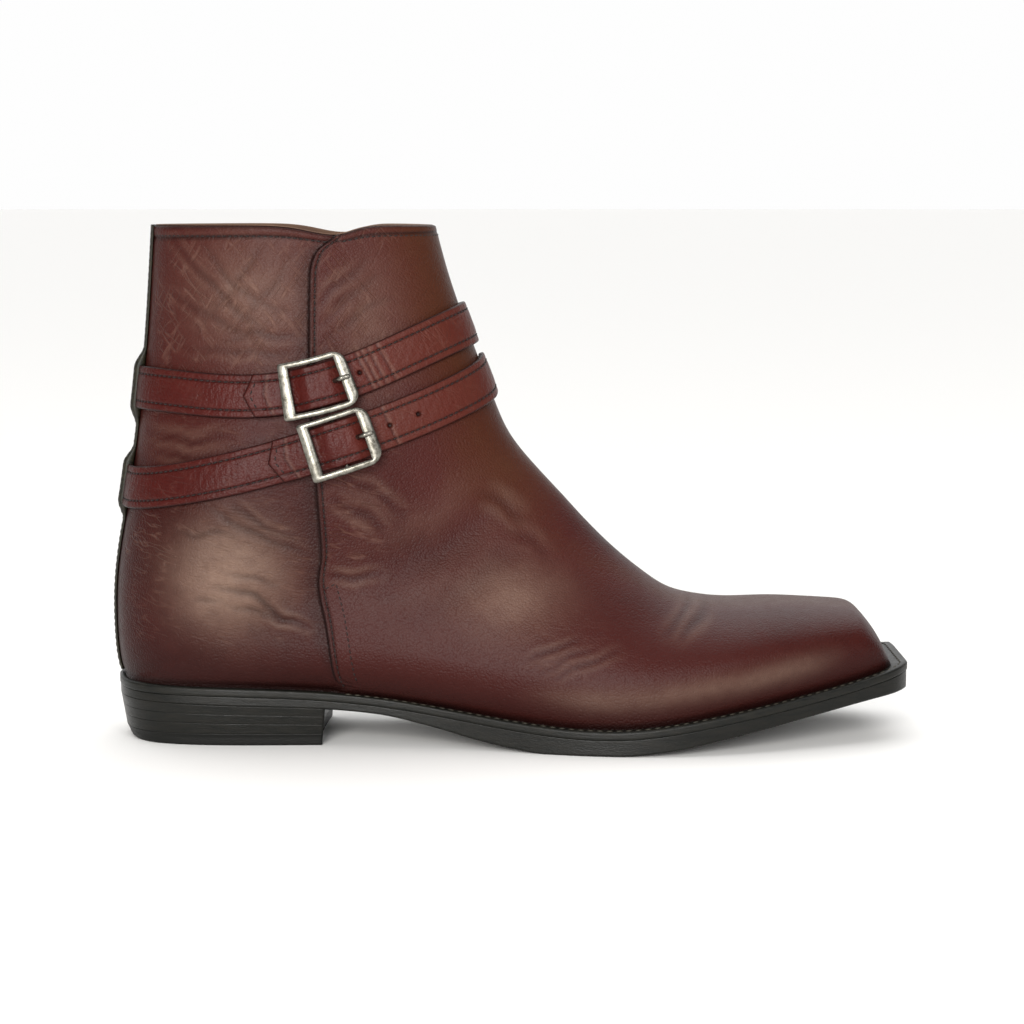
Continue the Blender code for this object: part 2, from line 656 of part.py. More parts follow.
def strap(name, band, start, end, level_at, point_at_start, colour):
    """Strap from start to end round the band, level_at giving its underside; one end may come to a point."""
    count = max(8, int(round((end - start) / 0.0045)) + 1)
    stations = np.linspace(start, end, count)
    half = 0.5 * strap_width
    flat = half - strap_edge
    shoulder = strap_thickness - strap_edge
    sides = np.array((-half, 0.0, half, half, flat, 0.0, -flat, -half))
    lifts = np.array((0.0, 0.0, 0.0, shoulder, strap_thickness, strap_thickness, strap_thickness, shoulder))
    rings = []
    for k, dist in enumerate(stations):
        place = np.full(8, dist)
        if point_at_start:
            near = max(0.0, 1.0 - k / 3.0)
            place = place + strap_point * near * np.abs(sides) / half
        rings.append(band.point(place, sides, level_at(place) + lifts))
    faces = tube_faces(count, 8)[:-2]
    for first in (0, 8 * (count - 1)):
        faces.append(tuple(first + k for k in (0, 1, 5, 6, 7)))
        faces.append(tuple(first + k for k in (1, 2, 3, 4, 5)))
    return solid(name, np.concatenate(rings), faces, colour, 0.38)


def ease(t):
    t = np.clip(t, 0.0, 1.0)
    return t * t * (3.0 - 2.0 * t)


strap_layer = strap_thickness + air_gap
bar_level = air_gap + strap_layer + centre_bar_radius
frame_level = 2.0 * strap_layer + frame_clearance


def buckled_strap(tag, row, sag, sag_power, buckle_x):
    """Front strap, rear strap, buckle and prong on one row of the last."""
    band = Band(row, sag, sag_power)
    middle = band.at_x(buckle_x)

    def front_level(dist):
        s = dist - middle
        high = bar_level + centre_bar_radius + air_gap
        over_rear = air_gap + strap_layer
        rise = over_rear + (high - over_rear) * ease((s + strap_rise_place) / strap_rise_run)
        fall = ease((s - strap_fall_place) / strap_fall_run)
        return rise * (1.0 - fall) + air_gap * fall

    start = middle - tip_reach
    front = strap("strap_" + tag, band, start, band.total - seam_clearance, front_level, True,
                  (0.13, 0.045, 0.036))
    strap("strap_" + tag + "_rear", band, seam_clearance, middle + rear_strap_reach, lambda dist: 0.0 * dist + air_gap,
          False, (0.16, 0.045, 0.036))

    # Frame: a wide left bar, rounded right corners, and a centre bar let into it.
    left = -0.5 * buckle_length
    right = 0.5 * buckle_length
    inner_half = 0.5 * buckle_left_height - buckle_side_bar
    half_height = 0.5 * buckle_left_height
    outer_top = []
    for k in range(7):
        angle = 0.5 * math.pi * (1.0 - k / 6.0)
        outer_top.append((right - buckle_corner + buckle_corner * math.cos(angle),
                          half_height - buckle_corner + buckle_corner * math.sin(angle)))
    run = [(left, y) for y in np.linspace(-half_height, half_height, 7)]
    run += [(x, half_height) for x in np.linspace(left, right - buckle_corner, 7)[1:-1]]
    run += outer_top
    run += [(right, y) for y in np.linspace(half_height - buckle_corner, buckle_corner - half_height, 5)[1:-1]]
    run += [(x, -y) for x, y in reversed(outer_top)]
    run += [(x, -half_height) for x in np.linspace(right - buckle_corner, left, 7)[1:-1]]
    outer_ring = np.array(run)
    inner_left = left + buckle_bar_width
    inner_right = right - buckle_bar_width
    inner_ring = np.column_stack((
        np.clip(outer_ring[:, 0], inner_left, inner_right),
        np.clip(outer_ring[:, 1], -inner_half, inner_half),
    ))
    toward = inner_ring - outer_ring
    toward /= np.linalg.norm(toward, axis=1, keepdims=True)
    rings = []
    for ring, level in (
        (inner_ring - toward * buckle_edge, frame_level),
        (outer_ring + toward * buckle_edge, frame_level),
        (outer_ring, frame_level + buckle_edge),
        (outer_ring, frame_level + buckle_thickness - buckle_edge),
        (outer_ring + toward * buckle_edge, frame_level + buckle_thickness),
        (inner_ring - toward * buckle_edge, frame_level + buckle_thickness),
        (inner_ring, frame_level + buckle_thickness - buckle_edge),
        (inner_ring, frame_level + buckle_edge),
    ):
        rings.append(band.point(middle + ring[:, 0], ring[:, 1], level))
    frame = solid("buckle_" + tag, np.concatenate(rings), tube_faces(len(rings), len(outer_ring), True),
                  (0.62, 0.58, 0.52), 0.3, 1.0)
    post = inner_half + 0.5 * buckle_side_bar
    middle_level = frame_level + 0.5 * buckle_thickness
    path = [(-post, middle_level), (-post, bar_level + centre_bar_bend), (centre_bar_bend - post, bar_level)]
    path += [(y, bar_level) for y in np.linspace(3.0 * centre_bar_bend - post, post - 3.0 * centre_bar_bend, 5)]
    path += [(post - centre_bar_bend, bar_level), (post, bar_level + centre_bar_bend), (post, middle_level)]
    bar = tube("cutter_bar_" + tag, [band.point(middle, y, level) for y, level in path], centre_bar_radius,
               (0.62, 0.58, 0.52), 1.0)
    combine(frame, bar, "UNION")

    # Prong: from beside the centre bar, up through the strap's hole, to rest on the right bar.
    rest_level = frame_level + buckle_thickness + prong_rest + prong_radius
    path = [
        (centre_bar_radius + air_gap + prong_radius, bar_level),
        (0.65 * prong_rise_place, bar_level + 0.5 * prong_radius),
        (prong_rise_place, bar_level + 2.25 * prong_radius),
        (1.35 * prong_rise_place, rest_level - 0.75 * prong_radius),
        (1.6 * prong_rise_place, rest_level),
        (inner_right + 0.6 * buckle_bar_width, rest_level),
    ]
    tube("prong_" + tag, [band.point(middle + s, 0.0, level) for s, level in path], prong_radius,
         (0.62, 0.58, 0.52), 1.0)
    hole_place = middle + prong_rise_place
    base = band.point(hole_place, 0.0, 0.0)
    rise = band.point(hole_place, 0.0, 0.001) - base
    rise /= np.linalg.norm(rise)
    onward = band.point(hole_place + 0.001, 0.0, 0.0) - base
    onward -= rise * float(np.dot(onward, rise))
    onward /= np.linalg.norm(onward)
    sideways = np.cross(rise, onward)
    slot = []
    for level in (-strap_thickness, 5.0 * strap_thickness):
        for k in range(14):
            angle = 2.0 * math.pi * (k + 0.5) / 14
            reach = 0.5 * (hole_length - hole_width) * math.copysign(1.0, math.cos(angle))
            run = reach + 0.5 * hole_width * math.cos(angle)
            slot.append(base + rise * level + onward * run + sideways * 0.5 * hole_width * math.sin(angle))
    hole = solid("cutter_hole_" + tag, slot, tube_faces(2, 14), (0.5, 0.5, 0.5), 0.5)
    combine(front, hole, "DIFFERENCE")
    return band


def tube(name, path, radius, colour, metal):
    """Round bar along a path of points, with rounded ends."""
    path = np.array(path).reshape(-1, 3)
    count = 12
    tangent = np.gradient(path, axis=0)
    tangent /= np.linalg.norm(tangent, axis=1, keepdims=True)
    guide = np.array((0.31, 0.17, 0.93))
    rings = []
    first = path[0] - tangent[0] * radius * 0.6
    last = path[-1] + tangent[-1] * radius * 0.6
    spots = np.concatenate((first[None], path, last[None]))
    radii = [radius * 0.62] + [radius] * len(path) + [radius * 0.62]
    ways = np.concatenate((tangent[:1], tangent, tangent[-1:]))
    for spot, size, way in zip(spots, radii, ways):
        a = np.cross(way, guide)
        a /= np.linalg.norm(a)
        b = np.cross(way, a)
        angles = 2.0 * math.pi * np.arange(count) / count
        rings.append(spot + size * (np.cos(angles)[:, None] * a + np.sin(angles)[:, None] * b))
    return solid(name, np.concatenate(rings), tube_faces(len(rings), count), colour, 0.3, metal)


def combine(target, cutter, operation):
    step = target.modifiers.new(cutter.name, "BOOLEAN")
    step.operation = operation
    step.solver = "EXACT"
    step.object = cutter
    boot_collection.objects.unlink(cutter)
    cutter_collection.objects.link(cutter)
    cutter.hide_render = True
    cutter.display_type = "WIRE"


upper_buckle_x = upper_buckle_place * sole_length
lower_buckle_x = lower_buckle_place * sole_length


def buckle_centre(row, sag, sag_power, buckle_x):
    band = Band(row, sag, sag_power)
    return band.point(band.at_x(buckle_x), 0.0, 0.0)


def row_below(spacing):
    """Row of the lower strap at which its buckle's centre lies this far from the upper buckle's."""
    upper_centre = buckle_centre(upper_strap_row, upper_strap_sag, upper_sag_power, upper_buckle_x)
    near, far = upper_strap_row + 0.2, corner_row - 2.0
    for _ in range(24):
        row = 0.5 * (near + far)
        lower_centre = buckle_centre(row, lower_strap_sag, lower_sag_power, lower_buckle_x)
        if np.linalg.norm(lower_centre - upper_centre) < spacing:
            near = row
        else:
            far = row
    return row


lower_strap_row = row_below(buckle_left_height + buckle_gap)
bands = (
    buckled_strap("upper", upper_strap_row, upper_strap_sag, upper_sag_power, upper_buckle_x),
    buckled_strap("lower", lower_strap_row, lower_strap_sag, lower_sag_power, lower_buckle_x),
)


# Backstay: a strip down the back seam that rises over the straps' ends.
backstay_rows = list(np.linspace(0.0, corner_row, 17))
bulges = []
for band in bands:
    clear = 0.5 * strap_width + backstay_clearance
    over_strap = np.array((-clear - backstay_rise, -clear, clear, clear + backstay_rise))
    edges = band.place(np.zeros(4), over_strap)[0]
    bulges.append(edges)
    backstay_rows.extend(edges)
backstay_rows = sorted(backstay_rows)
half_stay = 0.5 * backstay_width
stay_sides = np.array((-1.0, -0.5, 0.0, 0.5, 1.0)) * half_stay
stay_rings = []
for row in backstay_rows:
    lift = max(float(np.interp(row, edges, (0.0, 1.0, 1.0, 0.0))) for edges in bulges)
    level = air_gap - flap_step + lift * strap_layer
    shares = []
    for side in stay_sides:
        over = np.linalg.norm(slopes(row, 0.02)[1])
        shares.append(abs(side) / over if side <= 0.0 else 2.0 - side / over)
    shares = np.array(shares)
    rows = np.full(len(shares), row)
    normals = outward(rows, shares)
    near = skin(rows, shares) + normals * level
    far = skin(rows, shares) + normals * (level + backstay_thickness)
    stay_rings.append(np.concatenate((near, far[::-1])))
solid("backstay", np.concatenate(stay_rings), tube_faces(len(stay_rings), 10), (0.02, 0.02, 0.014), 0.45)
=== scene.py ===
import math

import bmesh
import bpy
import numpy as np
from mathutils import Matrix, Vector


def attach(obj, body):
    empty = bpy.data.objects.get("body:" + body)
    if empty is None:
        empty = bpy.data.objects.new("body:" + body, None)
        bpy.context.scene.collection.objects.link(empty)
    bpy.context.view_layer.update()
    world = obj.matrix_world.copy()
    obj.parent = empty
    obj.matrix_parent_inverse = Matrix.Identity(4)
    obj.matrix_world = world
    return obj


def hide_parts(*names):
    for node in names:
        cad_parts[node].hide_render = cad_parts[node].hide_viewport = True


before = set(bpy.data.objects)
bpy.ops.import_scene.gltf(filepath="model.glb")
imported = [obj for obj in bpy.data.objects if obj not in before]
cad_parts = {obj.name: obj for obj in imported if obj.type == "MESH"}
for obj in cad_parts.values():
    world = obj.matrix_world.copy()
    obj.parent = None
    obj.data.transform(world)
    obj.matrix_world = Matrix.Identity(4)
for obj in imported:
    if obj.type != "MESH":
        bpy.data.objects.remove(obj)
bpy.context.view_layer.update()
rng = np.random.default_rng(41)

# the last, the same form the solids follow, in metres from the heel's back
boot = {
    "soleLength": 0.306,
    "bootHeight": 0.197,
    "ballWidth": 0.104,
    "heelLength": 0.082,
    "quarterWall": 0.0020,
    "flapStep": 0.0010,
    "airGap": 0.0003,
    "weltThickness": 0.0030,
    "topPieceThickness": 0.0046,
    "heelRake": 0.0030,
    "cornerRow": 8.0,
}
lastColumns = (
    "xLow", "zLow", "xTop", "zTop", "centre", "outer", "inner", "seatOuter", "seatInner",
    "belly", "power", "ledge",
)
lastRows = (
    (0.0484, 1.0000, 0.4039, 1.0000, 0.0000, 0.2933, 0.2933, 0.0000, 0.0000, 0.5000, 2.35, 0.000),  # collar
    (0.0412, 0.8376, 0.4206, 0.9036, 0.0000, 0.2962, 0.2962, 0.0000, 0.0000, 0.5096, 2.35, 0.000),  # shaft
    (0.0310, 0.6751, 0.4431, 0.8020, 0.0000, 0.3058, 0.3058, 0.0000, 0.0000, 0.5192, 2.40, 0.000),  # upper strap
    (0.0150, 0.4924, 0.4663, 0.7056, 0.0000, 0.3404, 0.3404, 0.0000, 0.0000, 0.5096, 2.42, 0.000),  # lower strap
    (0.0039, 0.3959, 0.4824, 0.6396, 0.0000, 0.3538, 0.3538, 0.0000, 0.0000, 0.4808, 2.45, 0.000),  # ankle
    (-0.0039, 0.3046, 0.4951, 0.5964, 0.0000, 0.3558, 0.3558, 0.0000, 0.0000, 0.4519, 2.45, 0.000),
    (-0.0049, 0.2234, 0.5092, 0.5650, 0.0000, 0.3538, 0.3538, 0.0000, 0.0000, 0.4327, 2.45, 0.000),
    (-0.0026, 0.1624, 0.5212, 0.5431, 0.0000, 0.3500, 0.3500, 0.0000, 0.0000, 0.4135, 2.45, 0.000),
    (0.0026, 0.1218, 0.5310, 0.5264, 0.0000, 0.3462, 0.3462, 0.0000, 0.0000, 0.4038, 2.42, 0.010),  # heel corner
    (0.0147, 0.1208, 0.5402, 0.5107, 0.0000, 0.3452, 0.3452, 0.1490, 0.1490, 0.3942, 2.38, 0.010),  # seat
    (0.0458, 0.1193, 0.5513, 0.4924, 0.0000, 0.3462, 0.3453, 0.2452, 0.2452, 0.3846, 2.35, 0.011),
    (0.0980, 0.1173, 0.5654, 0.4690, 0.0000, 0.3510, 0.3481, 0.2913, 0.2913, 0.3750, 2.30, 0.013),
    (0.1699, 0.1147, 0.5833, 0.4381, 0.0000, 0.3606, 0.3559, 0.3038, 0.2981, 0.3558, 2.25, 0.014),
    (0.2549, 0.1086, 0.6029, 0.4061, 0.0000, 0.3750, 0.3636, 0.2942, 0.2769, 0.3269, 2.20, 0.017),  # breast
    (0.3399, 0.0959, 0.6225, 0.3761, 0.0029, 0.3942, 0.3712, 0.2962, 0.2577, 0.2885, 2.15, 0.021),  # waist
    (0.4248, 0.0772, 0.6438, 0.3467, 0.0077, 0.4212, 0.3846, 0.3288, 0.2769, 0.2500, 2.10, 0.029),
    (0.5065, 0.0599, 0.6683, 0.3162, 0.0154, 0.4500, 0.4096, 0.3846, 0.3308, 0.2115, 2.10, 0.038),  # ball
    (0.5817, 0.0503, 0.6977, 0.2858, 0.0288, 0.4750, 0.4404, 0.4365, 0.3904, 0.1731, 2.12, 0.043),
    (0.6536, 0.0523, 0.7320, 0.2685, 0.0481, 0.4827, 0.4654, 0.4615, 0.4365, 0.1490, 2.22, 0.043),
    (0.7255, 0.0670, 0.7761, 0.2584, 0.0712, 0.4654, 0.4750, 0.4462, 0.4558, 0.1298, 2.40, 0.043),  # vamp
    (0.7974, 0.0858, 0.8284, 0.2579, 0.0923, 0.4096, 0.4615, 0.3904, 0.4462, 0.1154, 2.60, 0.044),
    (0.8595, 0.1030, 0.8775, 0.2538, 0.1096, 0.3385, 0.4385, 0.3192, 0.4231, 0.1058, 2.80, 0.045),  # toe
    (0.9085, 0.1178, 0.9134, 0.2497, 0.1202, 0.2750, 0.4115, 0.2577, 0.3981, 0.0962, 3.00, 0.046),
    (0.9395, 0.1284, 0.9363, 0.2437, 0.1250, 0.2346, 0.3885, 0.2173, 0.3769, 0.0865, 3.00, 0.047),
    (0.9592, 0.1360, 0.9510, 0.2244, 0.1269, 0.2019, 0.3635, 0.1865, 0.3538, 0.0577, 3.00, 0.050),
    (0.9719, 0.1411, 0.9650, 0.1929, 0.1279, 0.1615, 0.3308, 0.1519, 0.3231, 0.0288, 3.00, 0.056),
    (0.9788, 0.1442, 0.9784, 0.1447, 0.1288, 0.1077, 0.2904, 0.1077, 0.2904, 0.0005, 3.00, 0.062),  # toe edge
)
undersideCurve = np.array((
    (-0.010, 0.0860), (0.120, 0.0800), (0.260, 0.0730), (0.330, 0.0640), (0.400, 0.0420), (0.460, 0.0190),
    (0.510, 0.0050), (0.540, 0.0000), (0.625, 0.0000), (0.690, 0.0090), (0.752, 0.0270), (0.817, 0.0470),
    (0.886, 0.0680), (0.951, 0.0870), (1.000, 0.0990),
)) * (boot["soleLength"], boot["bootHeight"])
flapCurve = np.array((  # the front flap's edge seen from the side: height, then x
    (0.100, 0.2900), (0.132, 0.2820), (0.239, 0.2710), (0.320, 0.2620), (0.376, 0.2660), (0.477, 0.2620),
    (0.756, 0.2520), (0.908, 0.2535), (0.942, 0.2590), (0.968, 0.2700), (1.000, 0.2860),
)) * (boot["bootHeight"], boot["soleLength"])
toeRow = float(len(lastRows) - 1)
cornerRow = boot["cornerRow"]
bootShift = np.array((-0.5 * boot["heelLength"], 0.0, 0.0))  # the origin is the middle of the heel's tread


def ease(t):
    t = np.clip(t, 0.0, 1.0)
    return t * t * (3.0 - 2.0 * t)


def bell(value, middle, width):
    return np.exp(-(((value - middle) / width) ** 2))


def most(*values):
    return np.maximum.reduce(values)


def monotone(xs, ys, at):  # a curve that never overshoots its points, straight past its ends
    xs, ys, at = (np.asarray(values, float) for values in (xs, ys, at))
    step = np.diff(xs)
    rise = np.diff(ys) / step
    slope = np.zeros_like(xs)
    same = rise[:-1] * rise[1:] > 0.0
    first = 2.0 * step[1:] + step[:-1]
    second = step[1:] + 2.0 * step[:-1]
    mean = first / np.where(same, rise[:-1], 1.0) + second / np.where(same, rise[1:], 1.0)
    slope[1:-1] = np.where(same, (first + second) / mean, 0.0)
    slope[0], slope[-1] = rise[0], rise[-1]
    k = np.clip(np.searchsorted(xs, at, side="right") - 1, 0, len(xs) - 2)
    t = (at - xs[k]) / step[k]
    inside = ((1 + 2 * t) * (1 - t) ** 2 * ys[k] + t * (1 - t) ** 2 * step[k] * slope[k]
              + t * t * (3 - 2 * t) * ys[k + 1] + t * t * (t - 1) * step[k] * slope[k + 1])
    before, beyond = ys[0] + slope[0] * (at - xs[0]), ys[-1] + slope[-1] * (at - xs[-1])
    return np.where(at < xs[0], before, np.where(at > xs[-1], beyond, inside))


def splineColumn(values, at):  # a natural cubic spline through values at 0, 1, 2 and on
    values = np.asarray(values, float)
    count = len(values)
    matrix = np.zeros((count, count))
    right = np.zeros(count)
    matrix[0, 0] = matrix[-1, -1] = 1.0
    for k in range(1, count - 1):
        matrix[k, k - 1:k + 2] = (1.0, 4.0, 1.0)
        right[k] = 6.0 * (values[k - 1] - 2.0 * values[k] + values[k + 1])
    bend = np.linalg.solve(matrix, right) / 6.0
    at = np.clip(np.asarray(at, float), 0.0, count - 1.0)
    k = np.minimum(at.astype(int), count - 2)
    t = at - k
    s = 1 - t
    return values[k] * s + values[k + 1] * t + (s ** 3 - s) * bend[k] + (t ** 3 - t) * bend[k + 1]


def runLength(chain):  # how far along a chain of points each one lies
    return np.concatenate(([0.0], np.cumsum(np.linalg.norm(np.diff(chain, axis=0), axis=1))))


def evenly(chain, count, axes=None, closed=False):  # the chain laid out again in even steps along its first axes
    if closed:
        chain = np.concatenate((chain, chain[:1]))
    dists = runLength(chain[:, :axes])
    at = np.linspace(0.0, dists[-1], count, endpoint=not closed)
    return np.stack([np.interp(at, dists, column) for column in chain.T], axis=1)


lastScale = {
    "xLow": boot["soleLength"], "xTop": boot["soleLength"],
    "zLow": boot["bootHeight"], "zTop": boot["bootHeight"], "power": 1.0,
}


def lastValue(column, row):  # a column of the table at any row; the seat's line may turn sharply at the heel's corner
    values = [line[lastColumns.index(column)] for line in lastRows]
    corner = int(cornerRow)
    scale = lastScale.get(column, boot["ballWidth"])
    if column in ("xLow", "zLow", "seatOuter", "seatInner"):
        shaft = splineColumn(values[:corner + 1], np.minimum(row, cornerRow))
        foot = splineColumn(values[corner:], np.maximum(row, cornerRow) - cornerRow)
        return np.where(np.asarray(row) <= cornerRow, shaft, foot) * scale
    return splineColumn(values, row) * scale


sheetRows = 16 * int(toeRow) + 1
halfColumns = 150
rowNumbers = np.linspace(0.0, toeRow, sheetRows)
lastTable = {name: lastValue(name, rowNumbers) for name in lastColumns}


def halfSection(k, side):  # one side of a section, from the seat up to the top line
    table = {name: values[k] for name, values in lastTable.items()}
    low = np.array((table["xLow"], table["zLow"]))
    top = np.array((table["xTop"], table["zTop"]))
    span = max(float(np.hypot(*(top - low))), 1e-6)
    along = (top - low) / span
    centre = table["centre"]
    wide = table["outer"] + centre if side < 0 else table["inner"] - centre
    seat = table["seatOuter"] + centre if side < 0 else table["seatInner"] - centre
    seat = 0.0 if rowNumbers[k] <= cornerRow else min(max(seat, 0.0), 0.9999 * wide)
    belly = min(table["belly"], 0.9 * span)
    start = -math.acos(seat / wide)
    depth = belly / max(abs(math.sin(start)), 1e-6)
    power = 2.0 / table["power"]
    angle = np.linspace(start, 0.5 * math.pi, 900)
    sine = np.sin(angle)
    cosine = np.maximum(np.cos(angle), 0.0)
    height = np.where(sine >= 0.0, belly + (span - belly) * np.maximum(sine, 0.0) ** power, belly + depth * sine)
    width = wide * np.where(sine >= 0.0, cosine ** power, cosine)
    x, z = (low[:, None] + along[:, None] * height)
    return evenly(np.stack((x, centre + side * width, z), axis=1), halfColumns + 1)


sheet = np.zeros((sheetRows, 2 * halfColumns + 1, 3))
for index in range(sheetRows):
    sheet[index, :halfColumns + 1] = halfSection(index, -1.0)
    sheet[index, halfColumns:] = halfSection(index, 1.0)[::-1]
# the rows near the heel's corner are smoothed into each other
calmRows = bell(rowNumbers[1:-1], cornerRow, 2.6)
calmColumns = np.clip(np.sin(np.linspace(0.0, math.pi, 2 * halfColumns + 1)) * 5.0, 0.0, 1.0)
calm = 0.5 * calmRows[:, None, None] * calmColumns[None, :, None]
for _ in range(360):
    sheet[1:-1] += calm * (0.5 * (sheet[:-2] + sheet[2:]) - sheet[1:-1])


def cubicWeights(t):
    return (0.5 * (-t + 2 * t * t - t ** 3), 0.5 * (2 - 5 * t * t + 3 * t ** 3),
            0.5 * (t + 4 * t * t - 3 * t ** 3), 0.5 * (-t * t + t ** 3))


def skin(row, across):  # a place on the last: across is 0 at the outer seat, 1 on the top line, 2 at the inner seat
    a = np.clip(np.asarray(row, float) / toeRow, 0.0, 1.0) * (sheetRows - 1)
    b = np.clip(np.asarray(across, float) / 2.0, 0.0, 1.0) * (2 * halfColumns)
    i = np.minimum(a.astype(int), sheetRows - 2)
    j = np.minimum(b.astype(int), 2 * halfColumns - 1)
    total = 0.0
    for m, wa in enumerate(cubicWeights(a - i)):
        ii = np.clip(i + m - 1, 0, sheetRows - 1)
        for n, wb in enumerate(cubicWeights(b - j)):
            total = total + (wa * wb)[..., None] * sheet[ii, np.clip(j + n - 1, 0, 2 * halfColumns)]
    return total


def slopes(row, across):  # how a place moves in one row, and in one unit across
    rows = [np.clip(row + step, 0.0, toeRow) for step in (-0.06, 0.06)]
    shares = [np.clip(across + step, 0.0, 2.0) for step in (-0.01, 0.01)]
    down = (skin(rows[1], across) - skin(rows[0], across)) / (rows[1] - rows[0])[..., None]
    over = (skin(row, shares[1]) - skin(row, shares[0])) / (shares[1] - shares[0])[..., None]
    return down, over


def metresPer(way, row, across):  # metres in one row (way 0) or in one unit across (way 1)
    row, across = np.broadcast_arrays(np.asarray(row, float), across)
    return np.linalg.norm(slopes(row, across)[way], axis=-1)


def outward(row, across):
    row = np.asarray(row, float)
    across = np.asarray(across, float)
    down, over = slopes(row, across)
    normal = np.cross(down, over)
    seam = (row <= cornerRow) & ((across < 1e-6) | (across > 2.0 - 1e-6))
    if np.any(seam):  # the two sides share one normal at the back seam
        down, over = slopes(row, 2.0 - across)
        normal = np.where(seam[..., None], normal + np.cross(down, over), normal)
    return normal / np.maximum(np.linalg.norm(normal, axis=-1, keepdims=True), 1e-12)


def raised(row, across, level):  # a place this far off the last
    return skin(row, across) + outward(row, across) * np.asarray(level, float)[..., None]


def flapShare(row):  # where the front flap's edge crosses a section, 0 ahead of its foot
    shares = np.linspace(0.0, 1.0, 361)
    points = skin(np.full_like(shares, row), shares)
    ahead = points[:, 0] - monotone(*flapCurve.T, points[:, 2])
    crossing = np.nonzero((ahead[:-1] < 0.0) & (ahead[1:] >= 0.0))[0]
    if len(crossing) == 0:
        return 0.0
    k = crossing[-1]
    return shares[k] + (shares[k + 1] - shares[k]) * ahead[k] / (ahead[k] - ahead[k + 1])


def seatHeight(x):
    rows = np.linspace(cornerRow, toeRow, 200)
    xs, zs = lastValue("xLow", rows), lastValue("zLow", rows)
    return np.interp(x, xs, zs) + (zs[-1] - zs[-30]) / (xs[-1] - xs[-30]) * np.maximum(x - xs[-1], 0.0)


def undersideHeight(x):
    return monotone(*undersideCurve.T, x)


class Band:  # places beside a line round the ankle; dist runs from the outer back seam, side crosses it downward
    def __init__(self, row, sag, sagPower):
        self.shares = np.linspace(0.0, 2.0, 801)
        self.rows = row + sag * np.abs(np.sin(math.pi * self.shares)) ** sagPower / metresPer(0, row, self.shares)
        line = skin(self.rows, self.shares)
        self.dists = runLength(line)
        self.total = float(self.dists[-1])
        self.flap = float(np.interp(flapShare(self.rows[200]), self.shares, self.dists))
        self.lineX = line[:, 0]

    def ground(self, dist):  # the quarter lies a step below the flap
        ahead = np.minimum(dist, self.total - dist) - self.flap
        return boot["flapStep"] * (np.clip((ahead + 0.009) / 0.008, 0.0, 1.0) - 1.0)

    def place(self, dist, side):
        row, share = (np.interp(dist, self.dists, values) for values in (self.rows, self.shares))
        rowOn, shareOn = (
            np.interp(dist + 0.002, self.dists, values) - np.interp(dist - 0.002, self.dists, values)
            for values in (self.rows, self.shares)
        )
        down, over = slopes(row, share)
        straight = np.cross(down * rowOn[..., None] + over * shareOn[..., None], outward(row, share))
        straight /= np.linalg.norm(straight, axis=-1, keepdims=True)
        straight *= np.sign(np.sum(straight * down, axis=-1))[..., None]
        rowNow, shareNow = row, share
        for partWay in (0.5, 1.0):
            down, over = slopes(rowNow, shareNow)
            downDown, downOver, overOver = (np.sum(a * b, -1) for a, b in ((down, down), (down, over), (over, over)))
            onDown, onOver = np.sum(down * straight, -1), np.sum(over * straight, -1)
            area = downDown * overOver - downOver * downOver
            rowNow = row + partWay * side * (onDown * overOver - onOver * downOver) / area
            shareNow = share + partWay * side * (onOver * downDown - onDown * downOver) / area
        return rowNow, shareNow

    def point(self, dist, side, level):
        dist, side, level = np.broadcast_arrays(np.asarray(dist, float), side, level)
        return raised(*self.place(dist, side), level + self.ground(dist))

    def atX(self, x):
        return float(np.interp(x, self.lineX[:401], self.dists[:401]))


print("stage: the last is drawn")


# materials
def linear(hexColour):
    parts = [int(hexColour[k:k + 2], 16) / 255.0 for k in (1, 3, 5)]
    return tuple(c / 12.92 if c <= 0.04045 else ((c + 0.055) / 1.055) ** 2.4 for c in parts) + (1.0,)


class Wire:  # a node's output; a sum on it adds a Math node
    def __init__(self, socket):
        self.socket, self.tree = socket, socket.id_data

    def sum(self, operation, other, flip=False):
        ends = (other, self) if flip else (self, other)
        node = addNode(self.tree, "ShaderNodeMath", {"operation": operation}, {0: ends[0], 1: ends[1]})
        return Wire(node.outputs[0])

    def __add__(self, other):
        return self.sum("ADD", other)

    def __sub__(self, other):
        return self.sum("SUBTRACT", other)

    def __rsub__(self, other):
        return self.sum("SUBTRACT", other, True)

    def __mul__(self, other):
        return self.sum("MULTIPLY", other)

    def clamped(self):
        self.socket.node.use_clamp = True
        return self


def addNode(tree, kind, settings=None, inputs=None):  # an input may be a wire, a colour or a number
    node = tree.nodes.new(kind)
    for key, value in (settings or {}).items():
        setattr(node, key, value)
    for key, value in (inputs or {}).items():
        if isinstance(value, Wire):
            tree.links.new(value.socket, node.inputs[key])
        else:
            node.inputs[key].default_value = linear(value) if isinstance(value, str) else value
    return node


def newMaterial(name, base):
    made = bpy.data.materials.new(name)
    made.use_nodes = True
    for key, value in base.items():
        made.node_tree.nodes["Principled BSDF"].inputs[key].default_value = value
    return made


def objectPlace(made):
    return Wire(addNode(made.node_tree, "ShaderNodeTexCoord").outputs["Object"])


def ramp(source, stops):
    node = addNode(source.tree, "ShaderNodeValToRGB", None, {"Fac": source})
    elements = node.color_ramp.elements
    while len(elements) < len(stops):
        elements.new(0.5)
    for element, (place, colour) in zip(elements, stops):
        element.position, element.color = place, linear(colour)
    return Wire(node.outputs["Color"])


def mixed(factor, first, second):
    tree = (factor if isinstance(factor, Wire) else first).tree
    settings = {"data_type": "RGBA", "clamp_factor": True}
    return Wire(addNode(tree, "ShaderNodeMix", settings, {0: factor, 6: first, 7: second}).outputs[2])


